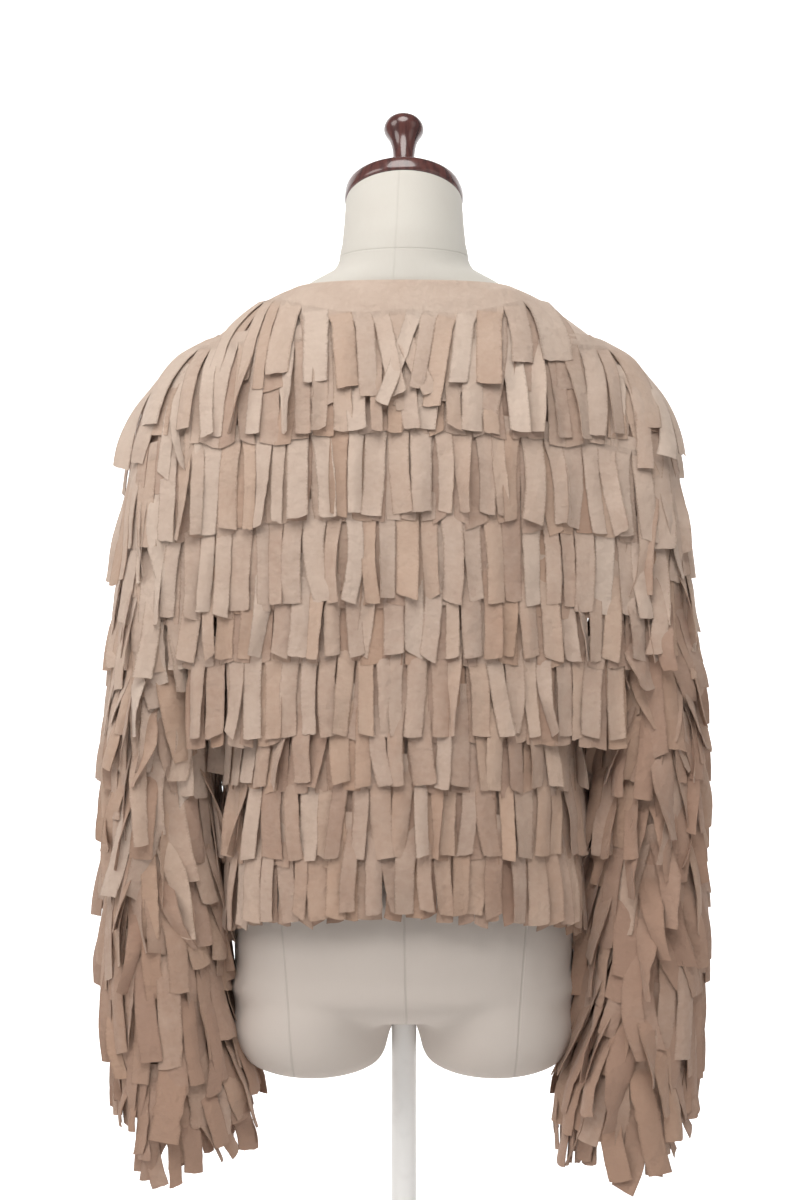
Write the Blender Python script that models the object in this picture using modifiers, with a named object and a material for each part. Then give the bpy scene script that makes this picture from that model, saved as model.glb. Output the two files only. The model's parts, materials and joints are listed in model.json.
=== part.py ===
"""A short jacket covered in rows of cut fringe, worn by a limbless dress form on a low stand.

Metres, +Z up. The origin is on the floor under the middle of the stand, the jacket's front faces -Y.
Left and right are the wearer's: left is +X.
"""

import math
from typing import NamedTuple

import bmesh
import bpy
import numpy as np
from mathutils import Vector

# ---------------------------------------------------------------- driving sizes
CLOTH = 0.0015  # wall of every panel and strip of fringe
SEAM_MARGIN = 0.0017  # from a panel's edge to its seam line, in quarters of the body
ARMHOLE_EASE = 0.0018  # from the body's wall to the sleeve's edge, which lies on its curve
SEAT_GAP = 0.0003  # between hard pieces that rest on each other
NECKLINE_Z = 0.998  # back neckline
SHOULDER_TIP_Z = 0.9945  # where the fronts run out in a point beside the neck
FRONT_NECK_DROP = 0.078  # how much lower the neckline is at the centre front
FRONT_GAP_TOP = 0.010  # between the two fronts at the neckline
FRONT_GAP_HEM = 0.022  # and at the hem
HEM_Z = 0.425
SHOULDER_LEVELS = (0.988, 0.975, 0.960)  # the body panels' rows of points above the armhole
ARMHOLE_Z = 0.8475  # middle of the armhole
ARMHOLE_HALF_HEIGHT = 0.1025
ARMHOLE_HALF_DEPTH = 0.062
SLEEVE_HEAD = 0.36  # share of a sleeve's length that bends over the shoulder
BACK_POINTS = 17  # across a body panel and round a sleeve
FRONT_POINTS = 9
SLEEVE_POINTS = 18

BODY_FRINGE_LIFT = 0.0020  # from a panel's inside to the inside of a fringe band
SLEEVE_FRINGE_LIFT = 0.0023  # and on the sleeves, which curve more tightly
FRINGE_FLARE = 0.095  # how fast a strand leaves the cloth, per metre of its length
LOCK_GAP = 0.0030  # between neighbouring strands
FLAT_LOCK = math.radians(17)  # a strand that turns more than this from edge to edge is bent at its middle
BAND_HEIGHT = 0.012
COLLAR_BAND_HEIGHT = 0.030
COLLAR_INSET = 0.002  # from the neckline to the collar band
COLLAR_STRAND = 0.125
SHOULDER_STRAND = 0.067  # the collar's strands are shorter over the shoulders
SHOULDER_SPAN = 0.45  # so far each side of the shoulder line, in quarters of the body
ROW_MARGIN = 0.012  # from a row's end to the edge of its panel, in quarters of the body

THIGH_Y = 0.008  # middle of the thigh stubs
POLE_RADIUS = 0.0125
POLE_TOP = 0.348  # its end in the socket inside the form
BASE_RADIUS = 0.165
BASE_THICKNESS = 0.012
HUB_RADIUS = 0.024
HUB_HEIGHT = 0.040
SOCKET_RADIUS = POLE_RADIUS + SEAT_GAP


class BodyRing(NamedTuple):
    """A level section of the jacket's body, measured at the inside of its wall."""

    z: float
    half_width: float
    back_depth: float
    front_depth: float
    squareness: float  # exponent of the superellipse, 2 is an ellipse


BODY_RINGS = (
    BodyRing(0.425, 0.1730, 0.1370, 0.1240, 2.5),
    BodyRing(0.500, 0.1730, 0.1340, 0.1270, 2.5),
    BodyRing(0.600, 0.1735, 0.1260, 0.1310, 2.5),
    BodyRing(0.700, 0.1750, 0.1190, 0.1370, 2.6),
    BodyRing(0.760, 0.1775, 0.1160, 0.1370, 2.7),
    BodyRing(0.820, 0.1830, 0.1110, 0.1260, 2.7),
    BodyRing(0.880, 0.1890, 0.1010, 0.1080, 2.6),
    BodyRing(0.920, 0.1925, 0.0880, 0.0920, 2.5),
    BodyRing(0.945, 0.1890, 0.0760, 0.0790, 2.4),
    BodyRing(0.960, 0.1710, 0.0700, 0.0710, 2.3),
    BodyRing(0.975, 0.1500, 0.0660, 0.0650, 2.2),
    BodyRing(0.988, 0.1300, 0.0640, 0.0600, 2.1),
    BodyRing(0.998, 0.1080, 0.0630, 0.0570, 2.0),
)


class SleeveStation(NamedTuple):
    """A section across the left sleeve, from its outer point to its inner point, at the inside of its wall."""

    number: float
    outer_x: float
    outer_z: float
    inner_x: float
    inner_z: float
    middle_y: float
    half_depth: float


SLEEVE_STATIONS = (
    SleeveStation(0, 0.1900, 0.950, 0.1780, 0.745, 0.000, 0.062),
    SleeveStation(1, 0.2240, 0.926, 0.1900, 0.722, 0.002, 0.065),
    SleeveStation(2, 0.2510, 0.887, 0.1960, 0.697, 0.004, 0.067),
    SleeveStation(3, 0.2660, 0.830, 0.1985, 0.668, 0.006, 0.067),
    SleeveStation(4, 0.2720, 0.756, 0.1990, 0.636, 0.008, 0.066),
    SleeveStation(5, 0.2770, 0.684, 0.1990, 0.600, 0.010, 0.065),
    SleeveStation(6, 0.2830, 0.604, 0.1990, 0.555, 0.012, 0.064),
    SleeveStation(7, 0.2865, 0.522, 0.1990, 0.495, 0.015, 0.064),
    SleeveStation(8, 0.2880, 0.442, 0.1985, 0.428, 0.018, 0.064),
    SleeveStation(9, 0.2880, 0.368, 0.1970, 0.362, 0.021, 0.064),
    SleeveStation(10, 0.2860, 0.292, 0.1935, 0.290, 0.024, 0.064),
    SleeveStation(11, 0.2750, 0.208, 0.1730, 0.208, 0.028, 0.062),
)


class FormRing(NamedTuple):
    """A level section of the dress form."""

    z: float
    half_width: float
    back_depth: float
    front_depth: float
    squareness: float


TORSO_RINGS = (
    FormRing(0.281, 0.1440, 0.0880, 0.0780, 2.3),
    FormRing(0.292, 0.1640, 0.1080, 0.0930, 2.3),
    FormRing(0.330, 0.1685, 0.1200, 0.0980, 2.3),
    FormRing(0.375, 0.1690, 0.1240, 0.0990, 2.3),
    FormRing(0.430, 0.1640, 0.1170, 0.0990, 2.3),
    FormRing(0.500, 0.1400, 0.0950, 0.0950, 2.2),
    FormRing(0.570, 0.1200, 0.0800, 0.0870, 2.2),
    FormRing(0.640, 0.1260, 0.0830, 0.0960, 2.2),
    FormRing(0.745, 0.1470, 0.0980, 0.1250, 2.3),
    FormRing(0.800, 0.1520, 0.1000, 0.1130, 2.4),
    FormRing(0.860, 0.1580, 0.0970, 0.0960, 2.6),
    FormRing(0.910, 0.1700, 0.0870, 0.0850, 2.5),
    FormRing(0.940, 0.1770, 0.0750, 0.0750, 2.4),
    FormRing(0.960, 0.1680, 0.0675, 0.0685, 2.3),
    FormRing(0.975, 0.1470, 0.0640, 0.0628, 2.2),
    FormRing(0.988, 0.1268, 0.0618, 0.0575, 2.1),
    FormRing(0.998, 0.1040, 0.0605, 0.0560, 2.0),
    FormRing(1.008, 0.0870, 0.0600, 0.0580, 2.0),
    FormRing(1.016, 0.0710, 0.0595, 0.0600, 2.0),
    FormRing(1.027, 0.0645, 0.0588, 0.0625, 2.0),
)


class NeckRing(NamedTuple):
    """A round section of the neck, which leans forward: tilt is from level, in degrees."""

    y: float
    z: float
    radius: float
    tilt: float


NECK_RINGS = (
    NeckRing(-0.005, 1.043, 0.0618, 7.0),
    NeckRing(-0.0135, 1.065, 0.0600, 15.0),
    NeckRing(-0.024, 1.089, 0.0588, 22.5),
)


class LegRing(NamedTuple):
    """A level section of a thigh stub."""

    z: float
    middle_x: float
    half_width: float
    half_depth: float


LEG_RINGS = (
    LegRing(0.226, 0.0880, 0.0440, 0.0640),
    LegRing(0.231, 0.0890, 0.0610, 0.0800),
    LegRing(0.240, 0.0900, 0.0705, 0.0900),
    LegRing(0.254, 0.0920, 0.0760, 0.0965),
    LegRing(0.270, 0.0900, 0.0795, 0.0990),
    LegRing(0.284, 0.0860, 0.0805, 0.1000),
    LegRing(0.300, 0.0800, 0.0820, 0.0980),
    LegRing(0.318, 0.0790, 0.0760, 0.0900),
)

CAP_PROFILE = (  # radius, height above the top of the neck
    (0.0000, 0.0000),
    (0.0575, 0.0000),
    (0.0597, 0.0020),
    (0.0600, 0.0070),
    (0.0585, 0.0120),
    (0.0540, 0.0145),
    (0.0400, 0.0200),
    (0.0220, 0.0260),
    (0.0000, 0.0275),
)
KNOB_PROFILE = (  # radius, height above the top of the cap
    (0.0000, 0.0000),
    (0.0150, 0.0000),
    (0.0122, 0.0120),
    (0.0112, 0.0260),
    (0.0120, 0.0380),
    (0.0150, 0.0490),
    (0.0190, 0.0560),
    (0.0206, 0.0610),
    (0.0200, 0.0670),
    (0.0150, 0.0725),
    (0.0000, 0.0745),
)
BASE_PROFILE = (  # radius, height above the floor: underside, rim, hub, and the socket inside it
    (0.0000, 0.0000),
    (BASE_RADIUS - 0.002, 0.0000),
    (BASE_RADIUS, 0.0020),
    (BASE_RADIUS, 0.0070),
    (BASE_RADIUS - 0.006, 0.0105),
    (HUB_RADIUS + 0.010, BASE_THICKNESS),
    (HUB_RADIUS + 0.001, 0.0160),
    (HUB_RADIUS - 0.002, HUB_HEIGHT - 0.003),
    (HUB_RADIUS - 0.005, HUB_HEIGHT),
    (SOCKET_RADIUS, HUB_HEIGHT),
    (SOCKET_RADIUS, BASE_THICKNESS),
    (0.0000, BASE_THICKNESS),
)


class FringeRow(NamedTuple):
    """A row of fringe round the body: the heights of its top edge at the centre back and at the sides."""

    back_z: float
    side_z: float
    length: float


BACK_ROWS = (
    FringeRow(0.938, 0.932, 0.098),
    FringeRow(0.866, 0.862, 0.098),
    FringeRow(0.786, 0.786, 0.098),
    FringeRow(0.734, 0.730, 0.098),
    FringeRow(0.660, 0.652, 0.098),
    FringeRow(0.610, 0.598, 0.096),
    FringeRow(0.544, 0.528, 0.096),
    FringeRow(0.492, 0.450, 0.096),
)
FRONT_ROWS = BACK_ROWS[1:]
SLEEVE_ROW_STATIONS = (0.30, 2.05, 3.50, 4.85, 6.15, 7.50, 8.95, 10.45)
SLEEVE_STRAND_LENGTH = 0.118
CUFF_STRAND_LENGTH = 0.108
CURVED_SLEEVE_ROWS = 3  # the topmost rows bend over the shoulder
OPEN_SLEEVE_ROWS = 6  # the rows beside the body leave the inner side of the arm bare
OPEN_ROW_SPAN = (-0.13, 0.63)  # their two ends, in turns round the sleeve from its back
BACK_LOCKS = 8
FRONT_LOCKS = 4
COLLAR_LOCKS = 16
OPEN_SLEEVE_LOCKS = 5
ROUND_SLEEVE_LOCKS = 7

COLOURS = {  # colour, roughness, metallic
    "fringe cloth": ((0.60, 0.46, 0.36, 1), 0.85, 0.0),
    "form linen": ((0.74, 0.70, 0.62, 1), 0.80, 0.0),
    "dark wood": ((0.11, 0.03, 0.02, 1), 0.25, 0.0),
    "stand enamel": ((0.80, 0.79, 0.76, 1), 0.35, 0.0),
}


# ---------------------------------------------------------------- curves and surfaces
def smooth_column(rows, column, at):
    """A column of a table as a smooth curve of its first column, read at the values given."""
    place = np.array([row[0] for row in rows], float)
    value = np.array([getattr(row, column) for row in rows], float)
    slope = np.gradient(value, place)
    i = np.clip(np.searchsorted(place, at) - 1, 0, len(place) - 2)
    step = place[i + 1] - place[i]
    t = np.clip((at - place[i]) / step, 0, 1)
    rise = t * t * (3 - 2 * t)
    return (
        value[i] * (1 - rise)
        + value[i + 1] * rise
        + step * slope[i] * t * (1 - t) ** 2
        - step * slope[i + 1] * t * t * (1 - t)
    )


def superellipse(half_width, half_depth, squareness, angle):
    """A point of a rounded ring, angle 0 at its side and a quarter turn at its back."""
    across, along = math.cos(angle), math.sin(angle)
    power = 2 / squareness
    return (
        half_width * math.copysign(abs(across) ** power, across),
        half_depth * math.copysign(abs(along) ** power, along),
    )


def evenly_spaced(points, count):
    """The polyline again, as count points the same distance apart."""
    steps = np.linalg.norm(np.diff(points, axis=0), axis=1)
    along = np.concatenate([[0], np.cumsum(steps)])
    wanted = np.linspace(0, along[-1], count)
    return np.stack([np.interp(wanted, along, points[:, k]) for k in range(3)], axis=1)


class Sheet:
    """A curved sheet known at a grid of points: columns run round it, and rows run down it.

    A place on it is (column, distance down that column from its top), with a lift along the normal outwards.
    """

    def __init__(self, points, columns, closed=False):
        self.points, self.columns, self.closed = points, np.array(columns, float), closed
        across = np.gradient(points, axis=1)
        if closed:  # the first and last columns are the same line
            across[:, 0] = across[:, -1] = (points[:, 1] - points[:, -2]) / 2
        normals = np.cross(across, np.gradient(points, axis=0))
        self.normals = normals / np.linalg.norm(normals, axis=2, keepdims=True)
        steps = np.linalg.norm(np.diff(points, axis=0), axis=2)
        self.depth = np.concatenate([np.zeros((1, steps.shape[1])), np.cumsum(steps, axis=0)])

    def column(self, where):
        """The two grid columns that where lies between, and its share of the way to the second."""
        if self.closed:
            low, high = self.columns[0], self.columns[-1]
            where = low + (where - low) % (high - low)
        i = int(np.clip(np.searchsorted(self.columns, where) - 1, 0, len(self.columns) - 2))
        share = (where - self.columns[i]) / (self.columns[i + 1] - self.columns[i])
        return i, float(np.clip(share, 0, 1))

    def line(self, where):
        """Points, normals and depths down one column."""
        i, share = self.column(where)
        return [
            grid[:, i] * (1 - share) + grid[:, i + 1] * share
            for grid in (self.points, self.normals, self.depth)
        ]

    def at(self, where, down, lift=0.0):
        """A point of the sheet. Below its lower edge the line goes on, turning to hang straight down."""
        points, _, depth = self.line(where)
        place = np.array([np.interp(down, depth, points[:, k]) for k in range(3)])
        place = place + lift * self.normal(where, down)
        place[2] -= max(0.0, down - depth[-1])
        return place

    def normal(self, where, down):
        """The unit normal, outwards."""
        _, normals, depth = self.line(where)
        normal = np.array([np.interp(down, depth, normals[:, k]) for k in range(3)])
        return normal / np.linalg.norm(normal)

    def down_to(self, where, z):
        """How far down a column the height z is."""
        points, _, depth = self.line(where)
        return float(np.interp(-z, -points[:, 2], depth))


# ---------------------------------------------------------------- the jacket's shape
def body_quarter(z, side, samples=33):
    """A quarter of the body's level section, from the centre back or front to the side, at x > 0."""
    depth = "back_depth" if side > 0 else "front_depth"
    width, deep, square = (smooth_column(BODY_RINGS, c, z) for c in ("half_width", depth, "squareness"))
    angles = np.linspace(math.pi / 2, 0, 4 * samples)
    ring = [(*superellipse(width, deep, square, a), z) for a in angles]
    return evenly_spaced(np.array(ring) * (1, side, 1), samples)


def body_sheet(levels=130):
    """The whole body as a sheet. Its columns go from -2, centre front, by -1, the right side, and 0, centre back."""
    rows = []
    for z in np.linspace(NECKLINE_Z, HEM_Z, levels):
        left = np.concatenate([body_quarter(z, 1), body_quarter(z, -1)[-2::-1]])
        right = left[:0:-1] * (-1, 1, 1)
        rows.append(np.concatenate([right, left]))
    rows = np.array(rows)
    return Sheet(rows, np.linspace(-2, 2, rows.shape[1]))


def armhole_depth(z):
    """Half the armhole's width at a height, and 0 above and below it."""
    inside = 1 - ((z - ARMHOLE_Z) / ARMHOLE_HALF_HEIGHT) ** 2
    return ARMHOLE_HALF_DEPTH * math.sqrt(max(0.0, inside))


def side_edge(z, side):
    """The column where the back (side 1) or a front (side -1) ends at a height: the armhole or the side seam."""
    quarter = body_quarter(z, side)
    share = np.interp(armhole_depth(z), side * quarter[::-1, 1], np.linspace(1, 0, len(quarter)))
    return float(share if side > 0 else 2 - share)


def centre_edge(z):
    """The column where the left front ends towards the middle: the neckline's curve, then the front edge."""
    quarter = body_quarter(z, -1)
    down = (NECKLINE_Z - z) / (NECKLINE_Z - HEM_Z)
    edge = (FRONT_GAP_TOP + (FRONT_GAP_HEM - FRONT_GAP_TOP) * down) / 2
    drop = min(1.0, (NECKLINE_Z - z) / FRONT_NECK_DROP)
    edge = max(edge, BODY_RINGS[-1].half_width * math.sqrt(1 - drop * drop))
    return 2 - float(np.interp(edge, quarter[:, 0], np.linspace(0, 1, len(quarter))))


def body_grid(body, heights, edges, columns, mirror=1):
    """Points over the part of the body between two edges, one row for each height."""
    rows = []
    for z in heights:
        start, end = edges(z)
        row = []
        for share in np.linspace(0, 1, columns):
            where = start + (end - start) * share
            row.append(body.at(where, body.down_to(where, z)) * (mirror, 1, 1))
        rows.append(row)
    return rows


def in_from_edges(start, end, margin):
    """Edges moved towards each other by a column margin."""
    turn = math.copysign(margin, end - start)
    return start + turn, end - turn


def sleeve_ring(station, angle):
    """A point of the left sleeve at a station, which may lie between two rows of the table.

    Angle 0 is the back of the sleeve, a quarter turn its outer side and three quarters its underarm.
    """
    outer_x, outer_z, inner_x, inner_z, middle_y, half_depth = (
        smooth_column(SLEEVE_STATIONS, name, station) for name in SleeveStation._fields[1:]
    )
    middle = np.array([(outer_x + inner_x) / 2, middle_y, (outer_z + inner_z) / 2])
    reach = np.array([(outer_x - inner_x) / 2, 0, (outer_z - inner_z) / 2])
    place = middle + reach * math.sin(angle) + np.array([0, half_depth * math.cos(angle), 0])
    if station < 1:  # the first section is bent to lie against the body's wall
        armhole_x = body_side_x(place[1], place[2]) + CLOTH + ARMHOLE_EASE
        place[0] += (1 - station) ** 2 * (armhole_x - place[0])
    return place


def body_side_x(y, z):
    """How far out the body's wall is at a place of its side."""
    quarter = body_quarter(min(z, NECKLINE_Z), 1 if y >= 0 else -1)
    return float(np.interp(abs(y), abs(quarter[::-1, 1]), quarter[::-1, 0]))


def sleeve_sheet(levels=90, columns=49):
    """The left sleeve as a closed sheet, its columns in turns from the back round the outer side."""
    last = len(SLEEVE_STATIONS) - 1
    turns = np.linspace(0, 1, columns)
    rows = [
        [sleeve_ring(station, 2 * math.pi * turn) for turn in turns]
        for station in np.linspace(0, last, levels)
    ]
    return Sheet(np.array(rows), turns, closed=True)


# ---------------------------------------------------------------- objects
def clear_scene():
    for obj in list(bpy.data.objects):
        bpy.data.objects.remove(obj)


def material(name):
    found = bpy.data.materials.get(name)
    if found:
        return found
    colour, roughness, metallic = COLOURS[name]
    made = bpy.data.materials.new(name)
    made.use_nodes = True
    shader = made.node_tree.nodes["Principled BSDF"]
    shader.inputs["Base Color"].default_value = colour
    shader.inputs["Roughness"].default_value = roughness
    shader.inputs["Metallic"].default_value = metallic
    return made


def add_object(name, mesh, collection, finish):
    obj = bpy.data.objects.new(name, mesh)
    collection.objects.link(obj)
    mesh.materials.append(material(finish))
    mesh.shade_smooth()
    return obj


def mesh_of(name, build):
    """A new mesh made by a function that fills a bmesh."""
    mesh = bpy.data.meshes.new(name)
    made = bmesh.new()
    build(made)
    made.normal_update()
    made.to_mesh(mesh)
    made.free()
    return mesh


def thicken(obj, thickness=CLOTH):
    wall = obj.modifiers.new("wall", "SOLIDIFY")
    wall.thickness = thickness
    wall.offset = 1
    wall.use_rim = True
    wall.use_even_offset = False


def grid_faces(made, rows, closed=False):
    """Quads between rows of points, facing outwards when columns run to the right seen from outside."""
    verts = [[made.verts.new(p) for p in row] for row in rows]
    across = len(verts[0])
    for upper, lower in zip(verts, verts[1:]):
        for i in range(across if closed else across - 1):
            j = (i + 1) % across
            made.faces.new((upper[i], lower[i], lower[j], upper[j]))
    return verts


def panel(name, rows, collection, closed=False, flip=False):
    """A piece of cloth with its wall."""

    def build(made):
        grid_faces(made, rows, closed)
        if flip:
            bmesh.ops.reverse_faces(made, faces=made.faces[:])

    obj = add_object(name, mesh_of(name, build), collection, "fringe cloth")
    thicken(obj)
    return obj


def comb(name, sheet, lift, top, locks, collection, mirror=1, closed=False):
    """A band with strands below it, fused at their roots, that follow a sheet and stand off it by lift or more.

    top(where) is how far down the sheet the band's upper edge lies.
    """

    def line(where, lock, rise):
        """Points down one line of a lock: the band's top, its foot, and the strand."""
        downs = [0, *np.linspace(lock.band, lock.length, lock.segments + 1)]
        return [
            sheet.at(where, top(where) + down, rise + FRINGE_FLARE * down) * (mirror, 1, 1)
            for down in downs
        ]

    def build(made):
        edges = []
        for lock in locks:
            ends = [sheet.at(where, top(where) + lock.band) for where in (lock.start, lock.end)]
            width = float(np.linalg.norm(ends[1] - ends[0]))
            first, last = (sheet.normal(where, top(where) + lock.band) for where in (lock.start, lock.end))
            turn = math.acos(min(1.0, float(first @ last)))
            across = 2 if turn > FLAT_LOCK else 1
            rise = lift + width * turn / 8 / across**2  # a flat strip clears the curve beneath it
            lines = [line(where, lock, rise) for where in np.linspace(lock.start, lock.end, across + 1)]
            verts = grid_faces(made, list(zip(*lines)))
            edges.append([[row[side] for row in verts[:2]] for side in (0, -1)])
        neighbours = list(zip(edges, edges[1:]))
        if closed:
            neighbours.append((edges[-1], edges[0]))
        for (_, (top_a, root_a)), ((top_b, root_b), _) in neighbours:
            made.faces.new((top_a, root_a, root_b, top_b))
        if mirror > 0:
            bmesh.ops.reverse_faces(made, faces=made.faces[:])

    obj = add_object(name, mesh_of(name, build), collection, "fringe cloth")
    thicken(obj)
    return obj


# ---------------------------------------------------------------- the jacket
class Lock(NamedTuple):
    """A strand of fringe: the sheet columns of its two edges, its band's height and its whole length."""

    start: float
    end: float
    band: float
    length: float
    segments: int


def column_gap(sheet, where, down):
    """LOCK_GAP as a share of the sheet's columns, at a place on it."""
    step = 0.01
    across = np.linalg.norm(sheet.at(where + step, down) - sheet.at(where - step, down))
    return LOCK_GAP * 2 * step / across


def spread_locks(sheet, top, span, count, length, segments, band=BAND_HEIGHT, closed=False):
    """Equal locks between two columns, with a gap after each. The last lock of an open row has none."""
    edges = np.linspace(*span, count + 1)
    locks = []
    for start, end in zip(edges, edges[1:]):
        gap = column_gap(sheet, start, top(start) + length / 2)
        if end == edges[-1] and not closed:
            gap = 0
        locks.append(Lock(start, end - math.copysign(gap, end - start), band, length, segments))
    return locks


def make_panels(body, sleeve, collection):
    """Back, two fronts and two sleeves."""
    armhole = ARMHOLE_Z + ARMHOLE_HALF_HEIGHT * np.cos(np.linspace(0, math.pi, 8))
    side = np.linspace(ARMHOLE_Z - ARMHOLE_HALF_HEIGHT, HEM_Z, 5)[1:]
    below_neck = (*SHOULDER_LEVELS, *armhole, *side)

    def back_edges(z):
        return in_from_edges(-side_edge(z, 1), side_edge(z, 1), SEAM_MARGIN)

    def front_edges(z):
        return in_from_edges(side_edge(z, -1), centre_edge(z), SEAM_MARGIN)

    rows = body_grid(body, (NECKLINE_Z, *below_neck), back_edges, BACK_POINTS)
    panel("back", rows, collection, flip=True)
    for name, mirror in (("front_left", 1), ("front_right", -1)):
        rows = body_grid(body, (SHOULDER_TIP_Z, *below_neck), front_edges, FRONT_POINTS, mirror)
        panel(name, rows, collection, flip=mirror > 0)

    steps = np.concatenate([np.linspace(0, SLEEVE_HEAD, 7), np.linspace(SLEEVE_HEAD, 1, 6)[1:]])
    turns = np.linspace(0, 1, SLEEVE_POINTS + 1)[:-1]
    for name, mirror in (("sleeve_left", 1), ("sleeve_right", -1)):
        rows = []
        for share in steps:
            row = []
            for turn in turns:
                length = sleeve.line(turn)[2][-1]
                row.append(sleeve.at(turn, share * length) * (mirror, 1, 1))
            rows.append(row)
        panel(name, rows, collection, closed=True, flip=mirror > 0)


def make_body_fringe(body, collection):
    """The rows across the back and the two fronts."""

    def top_of(row):
        def top(where):
            nearness = min(1.0, abs(where)) ** 2
            return body.down_to(where, row.back_z + (row.side_z - row.back_z) * nearness)

        return top

    def reach(row, side):
        """The column that the whole row may use, clear of the armhole."""
        heights = np.linspace(row.side_z, row.side_z - row.length, 12)
        edges = [side_edge(z, side) for z in heights]
        return min(edges) - ROW_MARGIN if side > 0 else max(edges) + ROW_MARGIN

    for number, row in enumerate(BACK_ROWS, 1):
        top = top_of(row)
        edge = reach(row, 1)
        locks = spread_locks(body, top, (-edge, edge), BACK_LOCKS, row.length, 2)
        comb(f"fringe_back_{number}", body, BODY_FRINGE_LIFT, top, locks, collection)
    for number, row in enumerate(FRONT_ROWS, 1):
        top = top_of(row)
        end = min(centre_edge(z) for z in (row.side_z, row.side_z - row.length)) - ROW_MARGIN
        locks = spread_locks(body, top, (reach(row, -1), end), FRONT_LOCKS, row.length, 2)
        for side, mirror in (("left", 1), ("right", -1)):
            name = f"fringe_front_{side}_{number}"
            comb(name, body, BODY_FRINGE_LIFT, top, locks, collection, mirror)


def make_collar_fringe(body, collection):
    """The row round the neckline, whose plain band shows. Its strands are short on the shoulders."""
    heights = np.linspace(NECKLINE_Z, NECKLINE_Z - FRONT_NECK_DROP, 40)
    neckline = [centre_edge(z) for z in heights]

    def top(where):
        return body.down_to(where, np.interp(abs(where), neckline, heights)) + COLLAR_INSET

    end = neckline[-1] - ROW_MARGIN
    locks = []
    for lock in spread_locks(body, top, (-end, end), COLLAR_LOCKS, COLLAR_STRAND, 3, COLLAR_BAND_HEIGHT):
        middle = abs(lock.start + lock.end) / 2
        on_shoulder = abs(middle - 1) < SHOULDER_SPAN
        locks.append(lock._replace(length=SHOULDER_STRAND) if on_shoulder else lock)
    comb("fringe_collar", body, BODY_FRINGE_LIFT, top, locks, collection)


def make_sleeve_fringe(sleeve, collection):
    """The rows round the sleeves, of which the lowest two go all the way round."""
    stations = np.linspace(0, len(SLEEVE_STATIONS) - 1, len(sleeve.points))

    def top_of(station):
        return lambda where: float(np.interp(station, stations, sleeve.line(where)[2]))

    for number, station in enumerate(SLEEVE_ROW_STATIONS, 1):
        top = top_of(station)
        closed = number > OPEN_SLEEVE_ROWS
        span, count = ((0.0, 1.0), ROUND_SLEEVE_LOCKS) if closed else (OPEN_ROW_SPAN, OPEN_SLEEVE_LOCKS)
        length = CUFF_STRAND_LENGTH if station == SLEEVE_ROW_STATIONS[-1] else SLEEVE_STRAND_LENGTH
        segments = 3 if number <= CURVED_SLEEVE_ROWS else 2
        locks = spread_locks(sleeve, top, span, count, length, segments, closed=closed)
        for side, mirror in (("left", 1), ("right", -1)):
            name = f"fringe_sleeve_{side}_{number}"
            comb(name, sleeve, SLEEVE_FRINGE_LIFT, top, locks, collection, mirror, closed)


# ---------------------------------------------------------------- the dress form and its stand
def loft(made, rings):
    """A closed body through rings of points, from the lowest to the highest, each counter-clockwise from above."""
    verts = [[made.verts.new(p) for p in ring] for ring in rings]
    across = len(verts[0])
    for lower, upper in zip(verts, verts[1:]):
        for i in range(across):
            j = (i + 1) % across
            made.faces.new((lower[i], lower[j], upper[j], upper[i]))
    made.faces.new(verts[0][::-1])
    made.faces.new(verts[-1])


def torso_mesh(sides=28):
    angles = [2 * math.pi * i / sides for i in range(sides)]
    rings = []
    for ring in TORSO_RINGS:
        points = []
        for angle in angles:
            deep = ring.back_depth if math.sin(angle) >= 0 else ring.front_depth
            points.append((*superellipse(ring.half_width, deep, ring.squareness, angle), ring.z))
        rings.append(points)
    for neck in NECK_RINGS:
        tilt = math.radians(neck.tilt)
        rings.append(
            [
                (
                    neck.radius * math.cos(a),
                    neck.y + neck.radius * math.sin(a) * math.cos(tilt),
                    neck.z + neck.radius * math.sin(a) * math.sin(tilt),
                )
                for a in angles
            ]
        )
    return mesh_of("torso", lambda made: loft(made, rings))


def leg_mesh(mirror, sides=20):
    angles = [2 * math.pi * i / sides for i in range(sides)]
    rings = [
        [
            (mirror * ring.middle_x + ring.half_width * math.cos(a), THIGH_Y + ring.half_depth * math.sin(a), ring.z)
            for a in angles
        ]
        for ring in LEG_RINGS
    ]
    return mesh_of("leg", lambda made: loft(made, rings))


def boolean(obj, other, operation):
    step = obj.modifiers.new(operation.lower(), "BOOLEAN")
    step.operation = operation
    step.object = other
    step.solver = "EXACT"


def turned(name, profile, collection, finish, steps=24):
    """A solid turned about Z from (radius, height) points that go up its outside."""

    def build(made):
        verts = [made.verts.new((radius, 0, height)) for radius, height in reversed(profile)]
        for a, b in zip(verts, verts[1:]):
            made.edges.new((a, b))

    obj = add_object(name, mesh_of(name, build), collection, finish)
    screw = obj.modifiers.new("turn", "SCREW")
    screw.steps = screw.render_steps = steps
    screw.use_merge_vertices = True
    screw.merge_threshold = 0.00005
    screw.use_smooth_shade = True
    return obj


def upright_rod(name, radius, bottom, top, collection):
    """A round rod that stands on the middle axis."""
    size = {"vertices": 24, "radius": radius, "depth": top - bottom}
    bpy.ops.mesh.primitive_cylinder_add(**size, location=(0, 0, (top + bottom) / 2))
    rod = bpy.context.object
    rod.name = name
    for owner in rod.users_collection:
        owner.objects.unlink(rod)
    collection.objects.link(rod)
    return rod


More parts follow.
